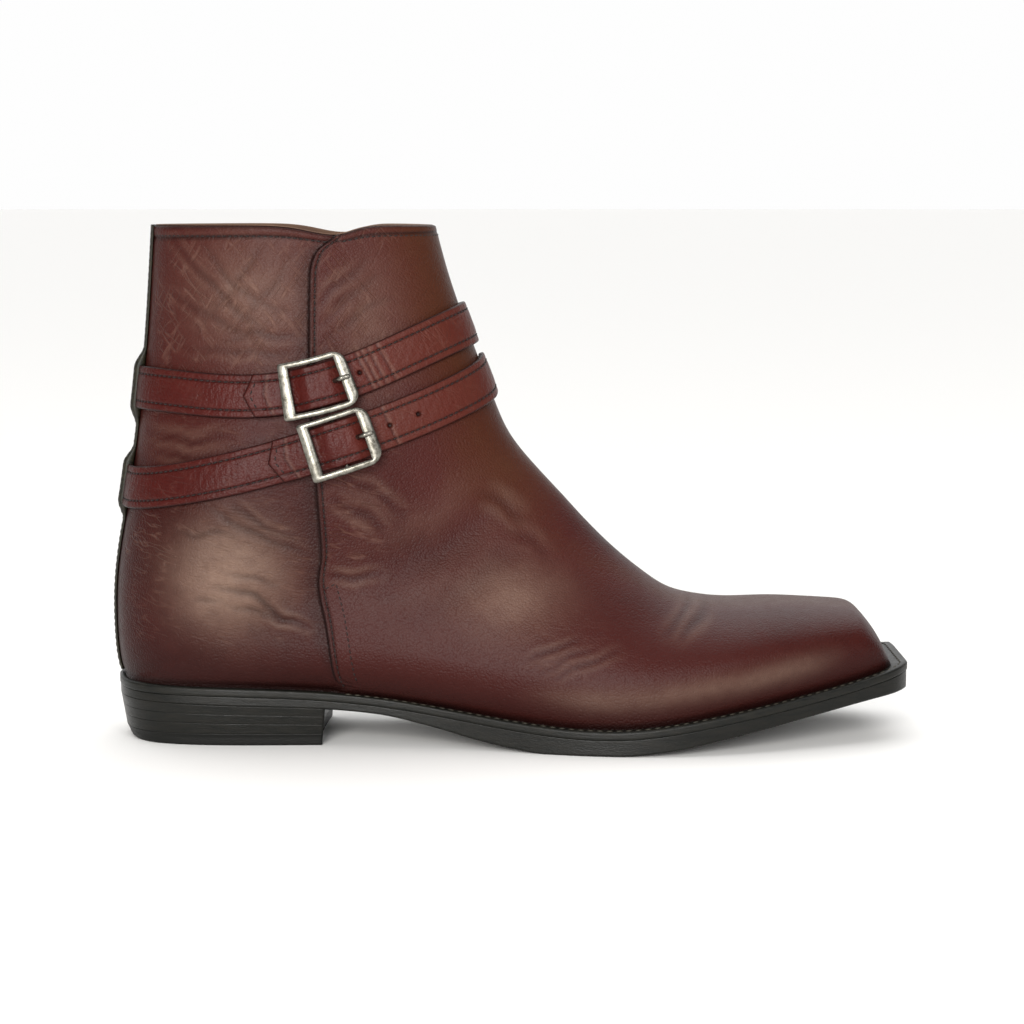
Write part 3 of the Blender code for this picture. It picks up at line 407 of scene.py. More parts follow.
def noise(place, scale, detail, roughness=0.5, distortion=0.0, output="Fac"):
    numbers = {"Scale": scale, "Detail": detail, "Roughness": roughness, "Distortion": distortion, "Vector": place}
    return Wire(addNode(place.tree, "ShaderNodeTexNoise", None, numbers).outputs[output])


def cellDistance(place, scale):
    node = addNode(place.tree, "ShaderNodeTexVoronoi", {"feature": "F1"}, {"Scale": scale, "Vector": place})
    return Wire(node.outputs["Distance"])


def stretched(place, scale, turn=(0.0, 0.0, 0.0), kind="POINT"):
    inputs = {"Rotation": turn, "Scale": scale, "Vector": place}
    return Wire(addNode(place.tree, "ShaderNodeMapping", {"vector_type": kind}, inputs).outputs["Vector"])


def dress(made, colour, rough=None, relief=None, strength=0.0, depth=0.0):  # joins the looks to the shader
    tree = made.node_tree
    wires = {"Base Color": colour}
    if rough:
        wires["Roughness"] = rough
    if relief:
        bump = addNode(tree, "ShaderNodeBump", None, {"Strength": strength, "Distance": depth, "Height": relief})
        wires["Normal"] = Wire(bump.outputs["Normal"])
    for key, wire in wires.items():
        tree.links.new(wire.socket, tree.nodes["Principled BSDF"].inputs[key])
    return made


def hairFolds(place, turn, length, scale, fine):
    # straight hairline folds, long along one direction and broken up, as thin hide creases when it is bent
    lines = noise(stretched(place, (length, 3.0, 1.0), (0.0, turn, 0.0), "TEXTURE"), scale, 1.0, 0.5, 0.12)
    near = (1.0 - (lines - 0.5).sum("ABSOLUTE", 0.0) * fine).clamped()
    return near * ((noise(place, 140.0, 1.0) - 0.40) * 5.0).clamped()


# burnished calf: drum dyed hide, waxed and burnished by hand. The eye sees a fine pebble, a satin sheen,
# dark burnish at every edge and pale hairlines where the hide was folded. Painted shade and painted sheen are mixed
# into its colour too
def burnishedCalf(name, look):
    made = newMaterial(name, {
        "IOR": 1.45, "Specular IOR Level": look["shine"],
        "Coat Weight": look["coat"], "Coat Roughness": look["coatRoughness"],
    })
    tree, place = made.node_tree, objectPlace(made)
    wearAndPaintedLight = addNode(tree, "ShaderNodeAttribute", {"attribute_name": "wearAndPaintedLight"})
    split = addNode(tree, "ShaderNodeSeparateColor", None, {"Color": Wire(wearAndPaintedLight.outputs["Color"])})
    burnishAndShade, rub, tone = (Wire(split.outputs[key]) for key in ("Red", "Green", "Blue"))
    cloud = noise(place, look["cloudScale"], 4.0, 0.55)
    fleck = noise(place, 210.0, 5.0, 0.65)
    mottle = noise(place, 75.0, 5.0, 0.6)
    colour = ramp(tone + (cloud - 0.5) * look["cloud"] + (fleck - 0.5) * look["fleck"], look["tones"])
    # folds: crossing diagonals on the shaft, level ones lower down
    height = Wire(addNode(tree, "ShaderNodeSeparateXYZ", None, {"Vector": place}).outputs["Z"])
    high = ((height - 0.128) * 60.0).clamped()
    rising, falling, level = (hairFolds(place, *lie) for lie in look["folds"])
    crossed = rising.sum("MAXIMUM", falling) * high
    folds = ((crossed + level * (1.0 - high)) * Wire(wearAndPaintedLight.outputs["Alpha"])).clamped()
    colour = mixed(folds * look["foldPale"], colour, look["pale"])
    # painted sheen: paler and greyer where the lights' highlights fall
    colour = mixed((rub * (mottle * 0.9 + fleck * 0.6)).clamped(), colour, look["rubbed"])
    # burnish at the edges, and painted shade in the troughs, beside the flap and down the back
    colour = mixed((burnishAndShade * (cloud * 0.5 + 0.72)).clamped(), colour, look["burntAndShaded"])
    # the pebble's cells are about 0.8 mm across, the pores inside them half that
    cells = cellDistance(mixed(0.0007, place, noise(place, 420.0, 2.0, output="Color")), 1250.0)
    relief = cells * cells * -look["pebble"] + noise(place, 1700.0, 3.0) * (0.25 * look["pebble"])
    relief = relief + noise(place, 95.0, 4.0, 0.55) * look["waves"] - folds * look["foldDepth"]
    rough = fleck * 0.22 + (look["rough"] - 0.11) + folds * 0.10
    return dress(made, colour, rough, relief, look["bump"], 0.0006)


upperLook = {
    "tones": [(0.0, "#290806"), (0.28, "#36100c"), (0.52, "#3b1511"), (0.78, "#3e1b11"), (1.0, "#402012")],
    "pale": "#8a6a5c",
    "rubbed": "#80685a",
    "burntAndShaded": "#120605",
    "cloud": 0.55,
    "fleck": 0.26,
    "cloudScale": 17.0,
    "folds": ((-0.95, 9.0, 330.0, 22.0), (0.85, 8.0, 300.0, 24.0), (0.22, 7.0, 380.0, 20.0)),
    "foldPale": 0.20,
    "foldDepth": 1.2,
    "pebble": 0.55,
    "waves": 0.45,
    "bump": 0.62,
    "rough": 0.42,
    "shine": 0.13,
    "coat": 0.035,
    "coatRoughness": 0.30,
}
strapLook = dict(
    upperLook,
    tones=[(0.0, "#290907"), (0.35, "#3f120e"), (0.6, "#481b15"), (1.0, "#4b241b")],
    cloudScale=26.0, cloud=0.4, foldPale=0.15, pebble=0.4, waves=0.4, rough=0.38,
)
upperLeather = burnishedCalf("burnished calf leather", upperLook)
strapLeather = burnishedCalf("burnished calf strap leather", strapLook)


# vegetable tanned sole bends, edge inked black and waxed: dark, with a green cast and soft rubbed streaks
def inkedSole(name, dark, light, roughness, grainScale):
    made = newMaterial(name, {"IOR": 1.45, "Specular IOR Level": 0.3})
    flat = stretched(objectPlace(made), (1.0, 1.0, 5.0))
    streak = noise(flat, grainScale, 6.0, 0.65)
    colour = ramp(streak, [(0.38, dark), (0.72, light)])
    return dress(made, colour, streak * 0.3 + (roughness - 0.15), streak + noise(flat, 900.0, 4.0), 0.35, 0.0003)


soleEdge = inkedSole("ink black sole leather", "#090a07", "#15130e", 0.38, 130.0)
weltLeather = inkedSole("ink black welt leather", "#0a0b08", "#191711", 0.42, 160.0)
heelRubber = inkedSole("moulded black heel rubber", "#080907", "#100f0c", 0.50, 300.0)
stayLeather = inkedSole("dark olive edge leather", "#12110b", "#2c281a", 0.42, 240.0)


# nickel plated zinc, aged: warm grey mirror with a soft haze and hairline scratches
def agedNickel(name):
    made = newMaterial(name, {"Metallic": 1.0})
    place = objectPlace(made)
    haze = noise(place, 520.0, 7.0, 0.65)
    scratches = noise(stretched(place, (1.0, 1.0, 14.0), (0.0, 0.35, 0.0)), 700.0, 3.0)
    return dress(made, ramp(haze, [(0.36, "#5b584f"), (0.60, "#85827a")]), haze * 0.22 + 0.19, scratches, 0.12, 0.0002)


# waxed linen thread, twisted: dull dark brown beads
def waxedThread(name, colour):
    made = newMaterial(name, {"Roughness": 0.62, "IOR": 1.45})
    return dress(made, mixed(noise(objectPlace(made), 2500.0, 2.0) * 0.5, colour, "#000000"))


# lining: undyed pigskin, matt, with pores about 1.5 mm apart
def liningSkin(name, first, second):
    made = newMaterial(name, {"Roughness": 0.68, "IOR": 1.45})
    place = objectPlace(made)
    colour = ramp(noise(place, 45.0, 6.0), [(0.3, first), (0.7, second)])
    return dress(made, colour, None, cellDistance(place, 700.0), 0.3, 0.0003)


nickel = agedNickel("aged nickel plate")
seamThread = waxedThread("waxed brown thread", "#140906")
weltThread = waxedThread("waxed dark thread", "#3a3529")
lining = liningSkin("undyed pigskin lining", "#4a3020", "#63452f")
sockLeather = liningSkin("natural insole leather", "#5c3f2b", "#7d5a3e")
print("stage: materials")


# mesh helpers
def addObject(name, data):
    thing = bpy.data.objects.new(name, data)
    bpy.context.scene.collection.objects.link(thing)
    return thing


def finishPiece(name, made, material, nodes=()):
    mesh = bpy.data.meshes.new(name)
    made.to_mesh(mesh)
    made.free()
    for face in mesh.polygons:
        face.use_smooth = True
    mesh.materials.append(material)
    piece = addObject(name, mesh)
    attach(piece, "root")
    if nodes:
        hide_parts(*nodes)


def mappedGrid(made, longCount, roundCount, shape):
    # a flat grid whose points are laid on a form; shape takes whole arrays of u and v from 0 to 1
    made.loops.layers.uv.verify()
    layer = made.verts.layers.float_color.new("wearAndPaintedLight")
    grid = bmesh.ops.create_grid(made, x_segments=longCount - 1, y_segments=roundCount - 1, size=0.5, calc_uvs=True)
    u, v = (np.array([vert.co[:2] for vert in grid["verts"]]) + 0.5).T
    for vert, spot in zip(grid["verts"], shape(u, v) + bootShift):
        vert.co = spot
    return grid["verts"], u, v, layer


def paintWearAndLight(verts, layer, *parts):
    # red is burnish and painted shade, green is painted sheen and highlight, blue is tone from oxblood to brown, alpha
    # is how crinkled the hide is
    for vert, paint in zip(verts, np.clip(np.stack(parts, axis=1), 0.0, 1.0)):
        vert[layer] = paint


def weld(made, verts=None, dist=0.000003):
    bmesh.ops.remove_doubles(made, verts=made.verts if verts is None else verts, dist=dist)


def closeEnds(made):
    edges = [edge for edge in made.edges if edge.is_boundary]
    if edges:
        bmesh.ops.holes_fill(made, edges=edges, sides=0)


def sealed(made):
    bmesh.ops.recalc_face_normals(made, faces=made.faces)
    if made.calc_volume(signed=True) < 0.0:
        bmesh.ops.reverse_faces(made, faces=made.faces)


def faceOneWay(made, near, up):  # the face nearest this spot looks up, or down, and the others follow it
    bmesh.ops.recalc_face_normals(made, faces=made.faces)
    nearest = min(made.faces, key=lambda face: (face.calc_center_median() - Vector(near)).length)
    if (nearest.normal.z > 0.0) != up:
        bmesh.ops.reverse_faces(made, faces=made.faces)


def stitchRow(made, path, normals, pitch, length, radius):
    # beads of thread along a path, each half sunk in the leather and leaning a little
    dists = runLength(path)

    def at(dist, values):
        return np.array([np.interp(dist, dists, column) for column in values.T])

    count = max(1, int(dists[-1] / pitch))
    for k in range(count):
        mid = (k + 0.5) * dists[-1] / count
        ahead = Vector(at(mid + 0.4 * length, path) - at(mid - 0.4 * length, path)).normalized()
        normal = Vector(at(mid, normals)).normalized()
        across = normal.cross(ahead).normalized()
        normal = ahead.cross(across)
        lean = Matrix.Rotation(float(rng.normal(0.09, 0.03)), 3, normal)
        turn = Matrix((ahead, across, normal)).transposed()
        size = Matrix.Diagonal((0.5 * length, radius, radius * 0.8))
        spot = Matrix.Translation(Vector(at(mid, path) + bootShift))
        bmesh.ops.create_icosphere(made, subdivisions=1, radius=1.0, matrix=spot @ (lean @ turn @ size).to_4x4())


# upper
upperBuild = {
    "rows": 284,
    "rearColumns": 70,
    "frontColumns": 94,
    "collarDip": 0.0034,  # the topline dips where the flap's corner meets the quarter
    "dipPlace": 0.087,
    "toplineBand": 0.0040,
    "edgeStitch": 0.0021,
    "stitch": (0.0022, 0.0018, 0.00028),  # pitch, length and radius of a bead
}


def rowRun(t):  # rows crowd at the topline and at the toe, where the form turns fast
    knots = np.array((0.0, 0.040, 0.17, 0.30, 0.44, 0.86, 1.0))
    rows = np.array((0.0, 0.165, 2.2, 5.0, 9.0, 22.0, toeRow))
    return np.where(t < knots[1], rows[1] * t / knots[1], monotone(knots[1:], rows[1:], np.maximum(t, knots[1])))


# the flap's edge as a share of each row; the guide goes on past its foot, so that the grid's columns do too
edgeRows = np.linspace(0.0, toeRow, 521)
edgeShares = np.array([flapShare(row) for row in edgeRows])
footOfFlap = float(edgeRows[np.nonzero(edgeShares > 0.0)[0][-1]])
edgeGuide = np.where(edgeShares > 0.0, np.maximum(edgeShares, 0.045), 0.045)
kernel = np.hanning(15) / np.hanning(15).sum()
smoothGuide = np.convolve(np.pad(edgeGuide, 7, mode="edge"), kernel, mode="valid")
edgeGuide = np.where(edgeRows > footOfFlap - 0.8, smoothGuide, edgeGuide)
edgePlaces = skin(edgeRows, edgeShares)
halfSpan = metresPer(1, edgeRows, 0.5)
rowLength = metresPer(0, edgeRows, 0.4)


def collarDip(places, row):
    away = places[:, 0] - upperBuild["dipPlace"]
    away = np.where(away < 0.0, away / 0.014, away / 0.009)
    return -upperBuild["collarDip"] * bell(away, 0.0, 1.0) * (1.0 - ease(row / 0.45))


# creases listed one by one, most of them on the outer side: x, z in millimetres from the heel's back and the floor,
# then how deep and how wide the trough is, and the side it is on (-1 outer, 1 inner, 0 both)
creases = (
    (((41, 61.4), (49, 61.0), (56, 58.3), (61, 54.3), (66, 49.6), (75.5, 46.7)), 0.55, 1.3, -1),
    (((38, 92.4), (54, 82.9), (66, 78.1), (78, 73.4)), 0.45, 1.5, -1),
    (((48, 94.0), (59, 85.2), (72, 79.7)), 0.38, 1.3, -1),
    (((27, 82.5), (36, 81.3), (43, 82.7), (50, 81.7)), 0.34, 1.1, -1),
    (((44, 67.8), (54, 65.4), (65, 63.0)), 0.34, 1.2, -1),
    (((46, 55.1), (59, 52.0), (70, 47.8)), 0.34, 1.2, -1),
    (((33, 58.0), (41, 56.0), (46, 57.0)), 0.26, 1.1, -1),
    (((86, 94.8), (98, 89.2), (106, 81.3)), 0.40, 1.8, -1),
    (((90, 103.0), (103, 97.0), (113, 88.0)), 0.30, 1.7, -1),
    (((84, 65.4), (94, 65.4), (103, 66.2)), 0.34, 1.4, -1),
    (((105, 66.5), (131, 76.7), (148, 93.3)), 0.75, 6.5, -1),
    (((118, 52.0), (139, 62.0), (158, 80.0)), 0.50, 5.5, -1),
    (((158, 34.6), (166, 38.4), (178, 42.4)), 0.22, 1.1, -1),
    (((168, 28.2), (181, 34.6), (193, 38.6)), 0.20, 1.1, -1),
    (((163, 30.0), (172, 35.5), (184, 40.0)), 0.14, 1.0, -1),
    (((217, 43.6), (224, 48.5), (228, 52.5)), 0.34, 1.4, -1),
    (((211, 44.6), (218, 49.5), (223, 54.0)), 0.24, 1.3, -1),
    (((25, 191), (38, 177), (52, 163), (63, 157)), 0.36, 1.4, -1),
    (((35, 192), (48, 176), (58, 169), (72, 164)), 0.30, 1.4, -1),
    (((22, 172), (36, 165), (50, 158), (60, 151)), 0.34, 1.5, -1),
    (((61, 191), (52, 178), (44, 168), (34, 158)), 0.28, 1.5, -1),
    (((73, 187), (64, 175), (56, 166), (45, 158)), 0.26, 1.5, -1),
    (((44, 153), (56, 157), (76, 155)), 0.38, 1.5, -1),
    (((30, 151), (48, 150), (74, 149)), 0.30, 1.5, -1),
    (((13, 119), (31, 116), (48, 119)), 0.34, 1.6, -1),
    (((15, 113), (30, 110), (46, 111)), 0.26, 1.4, -1),
    (((81, 168), (90, 177), (99, 184)), 0.30, 1.5, -1),
    (((82, 161), (92, 171), (103, 178)), 0.28, 1.5, -1),
    (((82, 153), (95, 164), (108, 171)), 0.24, 1.5, -1),
    (((20, 150), (45, 158), (70, 170)), 0.32, 1.7, 1),
    (((18, 170), (40, 163), (66, 155)), 0.30, 1.6, 1),
    (((30, 82), (50, 74), (72, 60)), 0.45, 1.6, 1),
    (((34, 68), (52, 60), (72, 50)), 0.36, 1.5, 1),
    (((88, 92), (108, 84), (126, 88)), 0.45, 3.2, 1),
    (((160, 38), (178, 42), (196, 46)), 0.24, 1.5, 1),
    (((168, 31), (186, 36), (204, 41)), 0.22, 1.4, 1),
    (((141, 96), (150, 92), (158, 84)), 0.35, 2.2, 0),
    (((150, 83), (160, 78), (168, 70)), 0.30, 2.2, 0),
)


def dent(places):
    # how far the leather stands out (+) or sinks (-), how much painted highlight its ridges take and how much painted
    # shade its troughs take
    total, rubbed, sunk = np.zeros((3, len(places)))
    x, y, z = places.T * 1000.0
    x = x + 0.5 * np.sin(z * 0.31 + x * 0.2)
    z = z + 0.5 * np.sin(x * 0.42)
    for line, depth, width, side in creases:
        best = np.full(len(places), 1e9)
        fade = np.ones(len(places))
        lengths = [math.dist(a, b) for a, b in zip(line[:-1], line[1:])]
        whole, gone = sum(lengths), 0.0
        for (ax, az), (bx, bz), part in zip(line[:-1], line[1:], lengths):
            t = np.clip(((x - ax) * (bx - ax) + (z - az) * (bz - az)) / (part * part), 0.0, 1.0)
            away = np.hypot(x - ax - t * (bx - ax), z - az - t * (bz - az))
            along = np.clip(0.06 + 0.88 * (gone + t * part) / whole, 0.0, 1.0)
            fade = np.where(away < best, np.sin(math.pi * along) ** 0.8, fade)
            best = np.minimum(away, best)
            gone += part
        if side:
            fade = fade * ease(side * y / 10.0 + 0.3)
        trough = fade * bell(best, 0.0, width)
        ridge = fade * bell(best, 1.9 * width, 1.1 * width)
        total += depth * (0.8 if width < 2.0 else 0.9) * 0.001 * (0.5 * ridge - trough)
        sharp = min(1.0, 1.9 * depth / width)
        rubbed = most(rubbed, ridge * sharp)
        sunk = most(sunk, trough * sharp)
    return total, rubbed, sunk


frontStart = np.array((0.0, 0.0004, 0.0009, 0.0014, 0.0018, 0.0022, 0.0027, 0.0034))  # metres ahead of the flap's edge


def upperPlaces(u, v):  # the columns follow the flap's edge and crowd just ahead of it
    row = rowRun(u)
    edge = np.interp(row, edgeRows, edgeGuide)
    span = np.interp(row, edgeRows, halfSpan)
    n, m, count = upperBuild["rearColumns"], upperBuild["frontColumns"], len(frontStart)
    column = np.rint(v * (2 * (n + m) - 2)).astype(int)
    mirrored = column > n + m - 1
    half = np.where(mirrored, 2 * (n + m) - 2 - column, column)
    rear = half < n
    rearShare = (edge - 0.0002 / span) * np.clip(half / (n - 1.0), 0.0, 1.0)
    step = np.clip(half - n, 0, m - 1)
    close = edge + frontStart[np.minimum(step, count - 1)] / span
    far = close + (1.0 - close) * np.clip((step - count + 1.0) / (m - count), 0.0, 1.0)
    share = np.where(rear, rearShare, np.where(step < count, close, far))
    return row, np.where(mirrored, 2.0 - share, share), share, rear & (row <= footOfFlap)


made = bmesh.new()
uCount = upperBuild["rows"]
vCount = 2 * (upperBuild["rearColumns"] + upperBuild["frontColumns"]) - 1
laid = {}  # what the wear needs to know of each point


def layUpper(u, v):
    row, full, share, behind = upperPlaces(u, v)
    places = skin(row, full)
    rise, rubbed, sunk = dent(places)
    under = row * np.interp(row, edgeRows, rowLength)  # way down from the topline
    toEdge = (share - np.interp(row, edgeRows, edgeGuide)) * np.interp(row, edgeRows, halfSpan)
    onFlap = ~behind & (row < footOfFlap)
    # the pressed band and the roll above it, the edge's stitch groove, the edge itself and the rounded topline
    rise = rise - 0.00030 * np.where(behind, 1.0, 0.55) * bell(under, upperBuild["toplineBand"], 0.0006)
    rise = rise + 0.00025 * behind * bell(under, 0.0020, 0.0013)
    rise = rise - 0.00030 * onFlap * bell(toEdge, upperBuild["edgeStitch"], 0.0005)
    rise = rise - 0.00035 * onFlap * bell(toEdge, 0.0, 0.0003) - 0.0009 * bell(under, 0.0, 0.0006)
    result = places + outward(row, full) * (rise - boot["flapStep"] * behind)[:, None]
    result[:, 2] += collarDip(places, row)
    foot = row > cornerRow
    seat = seatHeight(result[:, 0])
    result[:, 2] = np.where(foot, np.maximum(result[:, 2], seat - 0.0004), result[:, 2])
    bottom = foot & ((full < 1e-6) | (full > 2.0 - 1e-6) | (row > toeRow - 1e-6))
    result[bottom, 2] = seat[bottom] - 0.0006
    laid.update(row=row, share=share, rear=behind, rubbed=rubbed, sunk=sunk, places=places, onFlap=onFlap)
    laid.update(under=under * 1000.0, toEdge=toEdge * 1000.0)
    return result


verts, _, _, layer = mappedGrid(made, uCount, vCount, layUpper)
# the wear and the painted light and shade, in millimetres from the heel's back and the floor. The patches are painted
# sheen where the key light's highlight falls
sheenPatches = (  # strength, x, z, width, height, and whether the patch is on the quarter
    (0.34, 54.0, 170.0, 22.0, 20.0, True), (0.95, 46.0, 66.0, 19.0, 18.0, True),
    (0.45, 152.0, 58.0, 20.0, 13.0, False), (0.22, 100.0, 160.0, 12.0, 26.0, False),
)
x, y, z = laid["places"].T * 1000.0
row, share, rear, onFlap, under, toEdge = (laid[key] for key in ("row", "share", "rear", "onFlap", "under", "toEdge"))
seatLift = z - seatHeight(x / 1000.0) * 1000.0
lowDown = row > 7.0
backSeam = (row < 8.0) * bell(share * np.interp(row, edgeRows, halfSpan), 0.0, 0.013)
burnishAndShade = most(
    # darker toward the sole
    0.9 * lowDown * bell(seatLift, 0.0, 3.4),
    0.5 * lowDown * bell(seatLift, 0.0, 12.0),
    0.85 * bell(under, 0.0, 1.2),
    0.75 * bell(under, 1000.0 * upperBuild["toplineBand"], 0.7),
    # beside the flap's raised edge the quarter is darker: partly burnish, partly a painted shadow of the flap
    rear * bell(toEdge, 0.0, 0.9),
    0.45 * rear * bell(toEdge, 0.0, 5.0),
    0.95 * onFlap * bell(toEdge, 0.0, 0.9),
    0.7 * onFlap * bell(toEdge, 2.1, 0.6),
    # down the back seam, most on the low counter: seam burnish with painted shade where the back turns away from the
    # light
    (0.35 + 0.3 * ease((112.0 - z) / 30.0)) * backSeam,
    # painted shade in the crease troughs
    0.75 * laid["sunk"],
)
rub = most(
    0.5 * laid["rubbed"],
    # a painted highlight band low along the toe's outer side
    0.42 * lowDown * ease((x - 150.0) / 45.0) * ease((284.0 - x) / 26.0) * bell(seatLift, 11.0, 4.5),
    *(strength * (rear == onQuarter) * bell(x, atX, wide) * bell(z, atZ, tall)
      for strength, atX, atZ, wide, tall, onQuarter in sheenPatches),
)
# the painted sheen is fainter on the inner side, away from the lights
rub = rub * np.where(y < 0.0, 1.0, 0.45)
toTop = ease((share - 0.66) / 0.24)
quarterTone = 0.14 + 0.34 * ease((z - 95.0) / 50.0)
flapTone = 0.30 + 0.58 * toTop + 0.12 * ease((z - 120.0) / 40.0)
tone = np.where(rear, quarterTone, flapTone) - 0.75 * toTop * bell(z, 76.0, 15.0) * bell(share, 1.0, 0.12)
crinkle = np.where(
    rear,
    most(0.9 * bell(z, 165.0, 34.0) + 0.8 * bell(z, 78.0, 20.0), 0.35 * (z > 40.0)),
    most(0.85 * bell(x, 93.0, 15.0) * ease((z - 55.0) / 20.0), 0.35 * bell(x, 170.0, 22.0) * bell(z, 36.0, 12.0)),
)
paintWearAndLight(verts, layer, burnishAndShade, rub, tone, crinkle)
weld(made, [vert for vert in made.verts if vert.co.y ** 2 < 4e-6 and vert.co.x < -0.02], 0.000004)
faceOneWay(made, (0.18, 0.0, 0.06), True)
finishPiece("upper_leather", made, upperLeather, ["upper"])
print("stage: outer leather, faces", uCount * vCount)

# lining: the same form a wall's thickness inside, joined to the outside by a rounded rim
wall = boot["flapStep"] + boot["quarterWall"]
made = bmesh.new()


def layLining(u, v):
    row, inward, up = (np.interp(u, (0.0, 0.02, 0.045, 0.075, 0.11, 1.0), values) for values in (
        (0.0, 0.0, 0.0, 0.0, 0.10, toeRow - 0.9),
        (0.28, 0.45, 0.75, 1.0, 1.0, 1.0),
        (0.0, 0.0003, 0.0003, 0.0, 0.0, 0.0),
    ))
    full = v * 2.0
    beyond = np.minimum(full, 2.0 - full) - np.interp(row, edgeRows, edgeGuide)
    step = boot["flapStep"] * (1.0 - ease((beyond + 0.01) / 0.02)) * (row < footOfFlap)
    base = skin(row, full)
    places = base - outward(row, full) * (step + inward * (wall - step))[:, None]
    places[:, 2] += up + collarDip(base, row)
    places[:, 2] = np.where(row > cornerRow, np.maximum(places[:, 2], seatHeight(places[:, 0])), places[:, 2])
    return places


mappedGrid(made, 120, 160, layLining)
weld(made, [vert for vert in made.verts if vert.co.y ** 2 < 1e-5 and vert.co.x < -0.015], 0.00001)
faceOneWay(made, (0.12, 0.0, 0.09), False)
finishPiece("lining", made, lining)
print("stage: upper")

# sole: every layer takes its outline from the seat line of the last
soleBuild = {
    "points": 210,
    "frontPoints": 24,
    "edgeRound": 0.0006,
    "inset": 0.0003,  # how far the outsole and the heel lie inside the welt
    "weltStitch": (0.0036, 0.0029, 0.00042),
    "stitchStart": 0.088,
}
seatRows = cornerRow + (toeRow - cornerRow) * np.linspace(0.0, 1.0, soleBuild["points"]) ** 0.9


def seatOutline(standOut):  # the seat line in plan, moved out by what standOut makes of the ledge there
    n = soleBuild["frontPoints"]
    outer, inner = (skin(seatRows, np.full_like(seatRows, share)) for share in (0.0, 2.0))
    front = skin(np.full(n, toeRow), np.linspace(0.0, 1.0, n + 2)[1:-1] * 2.0)
    ledge = lastValue("ledge", seatRows)
    line = np.concatenate((outer, front, inner[:0:-1]))
    line[:, 2] = np.concatenate((ledge, np.full(n, ledge[-1]), ledge[:0:-1]))
    line = evenly(line, 2 * soleBuild["points"] + n, 2, True)
    loop, ledges = line[:, :2], line[:, 2]
    tangent = np.roll(loop, -1, axis=0) - np.roll(loop, 1, axis=0)
    tangent /= np.maximum(np.linalg.norm(tangent, axis=1, keepdims=True), 1e-9)
    side = np.stack((tangent[:, 1], -tangent[:, 0]), axis=1)
    for _ in range(26):
        side = side + 0.5 * (np.roll(side, 1, axis=0) + np.roll(side, -1, axis=0))
        side /= np.linalg.norm(side, axis=1, keepdims=True)
    return loop + side * standOut(ledges)[:, None]


def weltTop(x):
    return seatHeight(x) - boot["airGap"]


def weltBase(x):
    return weltTop(x) - boot["weltThickness"]


def outsoleTop(x):
    return weltBase(x) - boot["airGap"]


def soleRim(inset):
    return seatOutline(lambda ledge: ledge - soleBuild["inset"] - inset)


def weltRim(inset):
    return seatOutline(lambda ledge: ledge - inset)


def innerRim(inset):  # a line inside the upper's wall
    return seatOutline(lambda ledge: -(wall + 1.3 * np.maximum(ledge - 0.0047, 0.0)) - inset)


def ringStack(made, rings, closed=False):
    # plan outlines, each with its height as a function of x and a rise on top of it, bridged one to the next
    loops = []
    for outline, height, rise in rings:
        circle = bmesh.ops.create_circle(made, segments=len(outline), radius=1.0, cap_ends=False)["verts"]
        circle.sort(key=lambda vert: math.atan2(vert.co.y, vert.co.x))
        for vert, spot in zip(circle, np.column_stack((outline, height(outline[:, 0]) + rise)) + bootShift):
            vert.co = spot
        loops.append(edgesOf(circle))
    for first, second in zip(loops, loops[1:] + loops[:closed]):
        bmesh.ops.bridge_loops(made, edges=first + second)
    return loops


def edgesOf(verts):
    return list(dict.fromkeys(edge for vert in verts for edge in vert.link_edges))


def plate(name, rings, material, node):
    made = bmesh.new()
    loops = ringStack(made, rings)
    for loop in (loops[0], loops[-1]):
        face = bmesh.ops.contextual_create(made, geom=loop)["faces"]
        bmesh.ops.triangulate(made, faces=face, quad_method="BEAUTY", ngon_method="BEAUTY")
    sealed(made)
    finishPiece(name, made, material, [node])


edgeRound = soleBuild["edgeRound"]
plate("outsole_leather", [
    (soleRim(inset * edgeRound), height, rise * edgeRound) for inset, height, rise in (
        (5.0, undersideHeight, 0.0), (1.0, undersideHeight, 0.0), (0.3, undersideHeight, 0.3),
        (0.0, undersideHeight, 1.0), (0.0, undersideHeight, 1.5), (0.0, outsoleTop, -0.7),
        (0.0, outsoleTop, -0.2), (0.3, outsoleTop, 0.1), (5.0, outsoleTop, 0.0),
    )
], soleEdge, "outsole")

weltHole = innerRim(0.0002)
made = bmesh.new()
ringStack(made, [
    (weltHole, weltBase, 0.0),
    (weltRim(0.0002), weltBase, -0.0002),
    (weltRim(0.0), weltBase, 0.0001),
    (weltRim(0.0), weltBase, 0.0008),
    (weltRim(0.0), weltTop, -0.0011),
    (weltRim(0.0), weltTop, -0.0006),
    (weltRim(0.0006), weltTop, 0.0),
    (weltHole, weltTop, 0.0),
], True)
sealed(made)
finishPiece("welt_strip", made, weltLeather, ["welt"])

made = bmesh.new()
line = seatOutline(lambda ledge: 0.56 * ledge)
line = line[line[:, 0] > soleBuild["stitchStart"]]
path = np.column_stack((line, weltTop(line[:, 0])))
stitchRow(made, path, np.tile((0.0, 0.0, 1.0), (len(path), 1)), *soleBuild["weltStitch"])
finishPiece("welt_stitching", made, weltThread)

plate("insole_board", [
    (innerRim(0.0009), outsoleTop, 0.0003),
    (innerRim(0.0009), weltTop, 0.0),
    (innerRim(0.0030), outsoleTop, 0.0052),
    (innerRim(0.0040), outsoleTop, 0.0055),
], sockLeather, "insole")


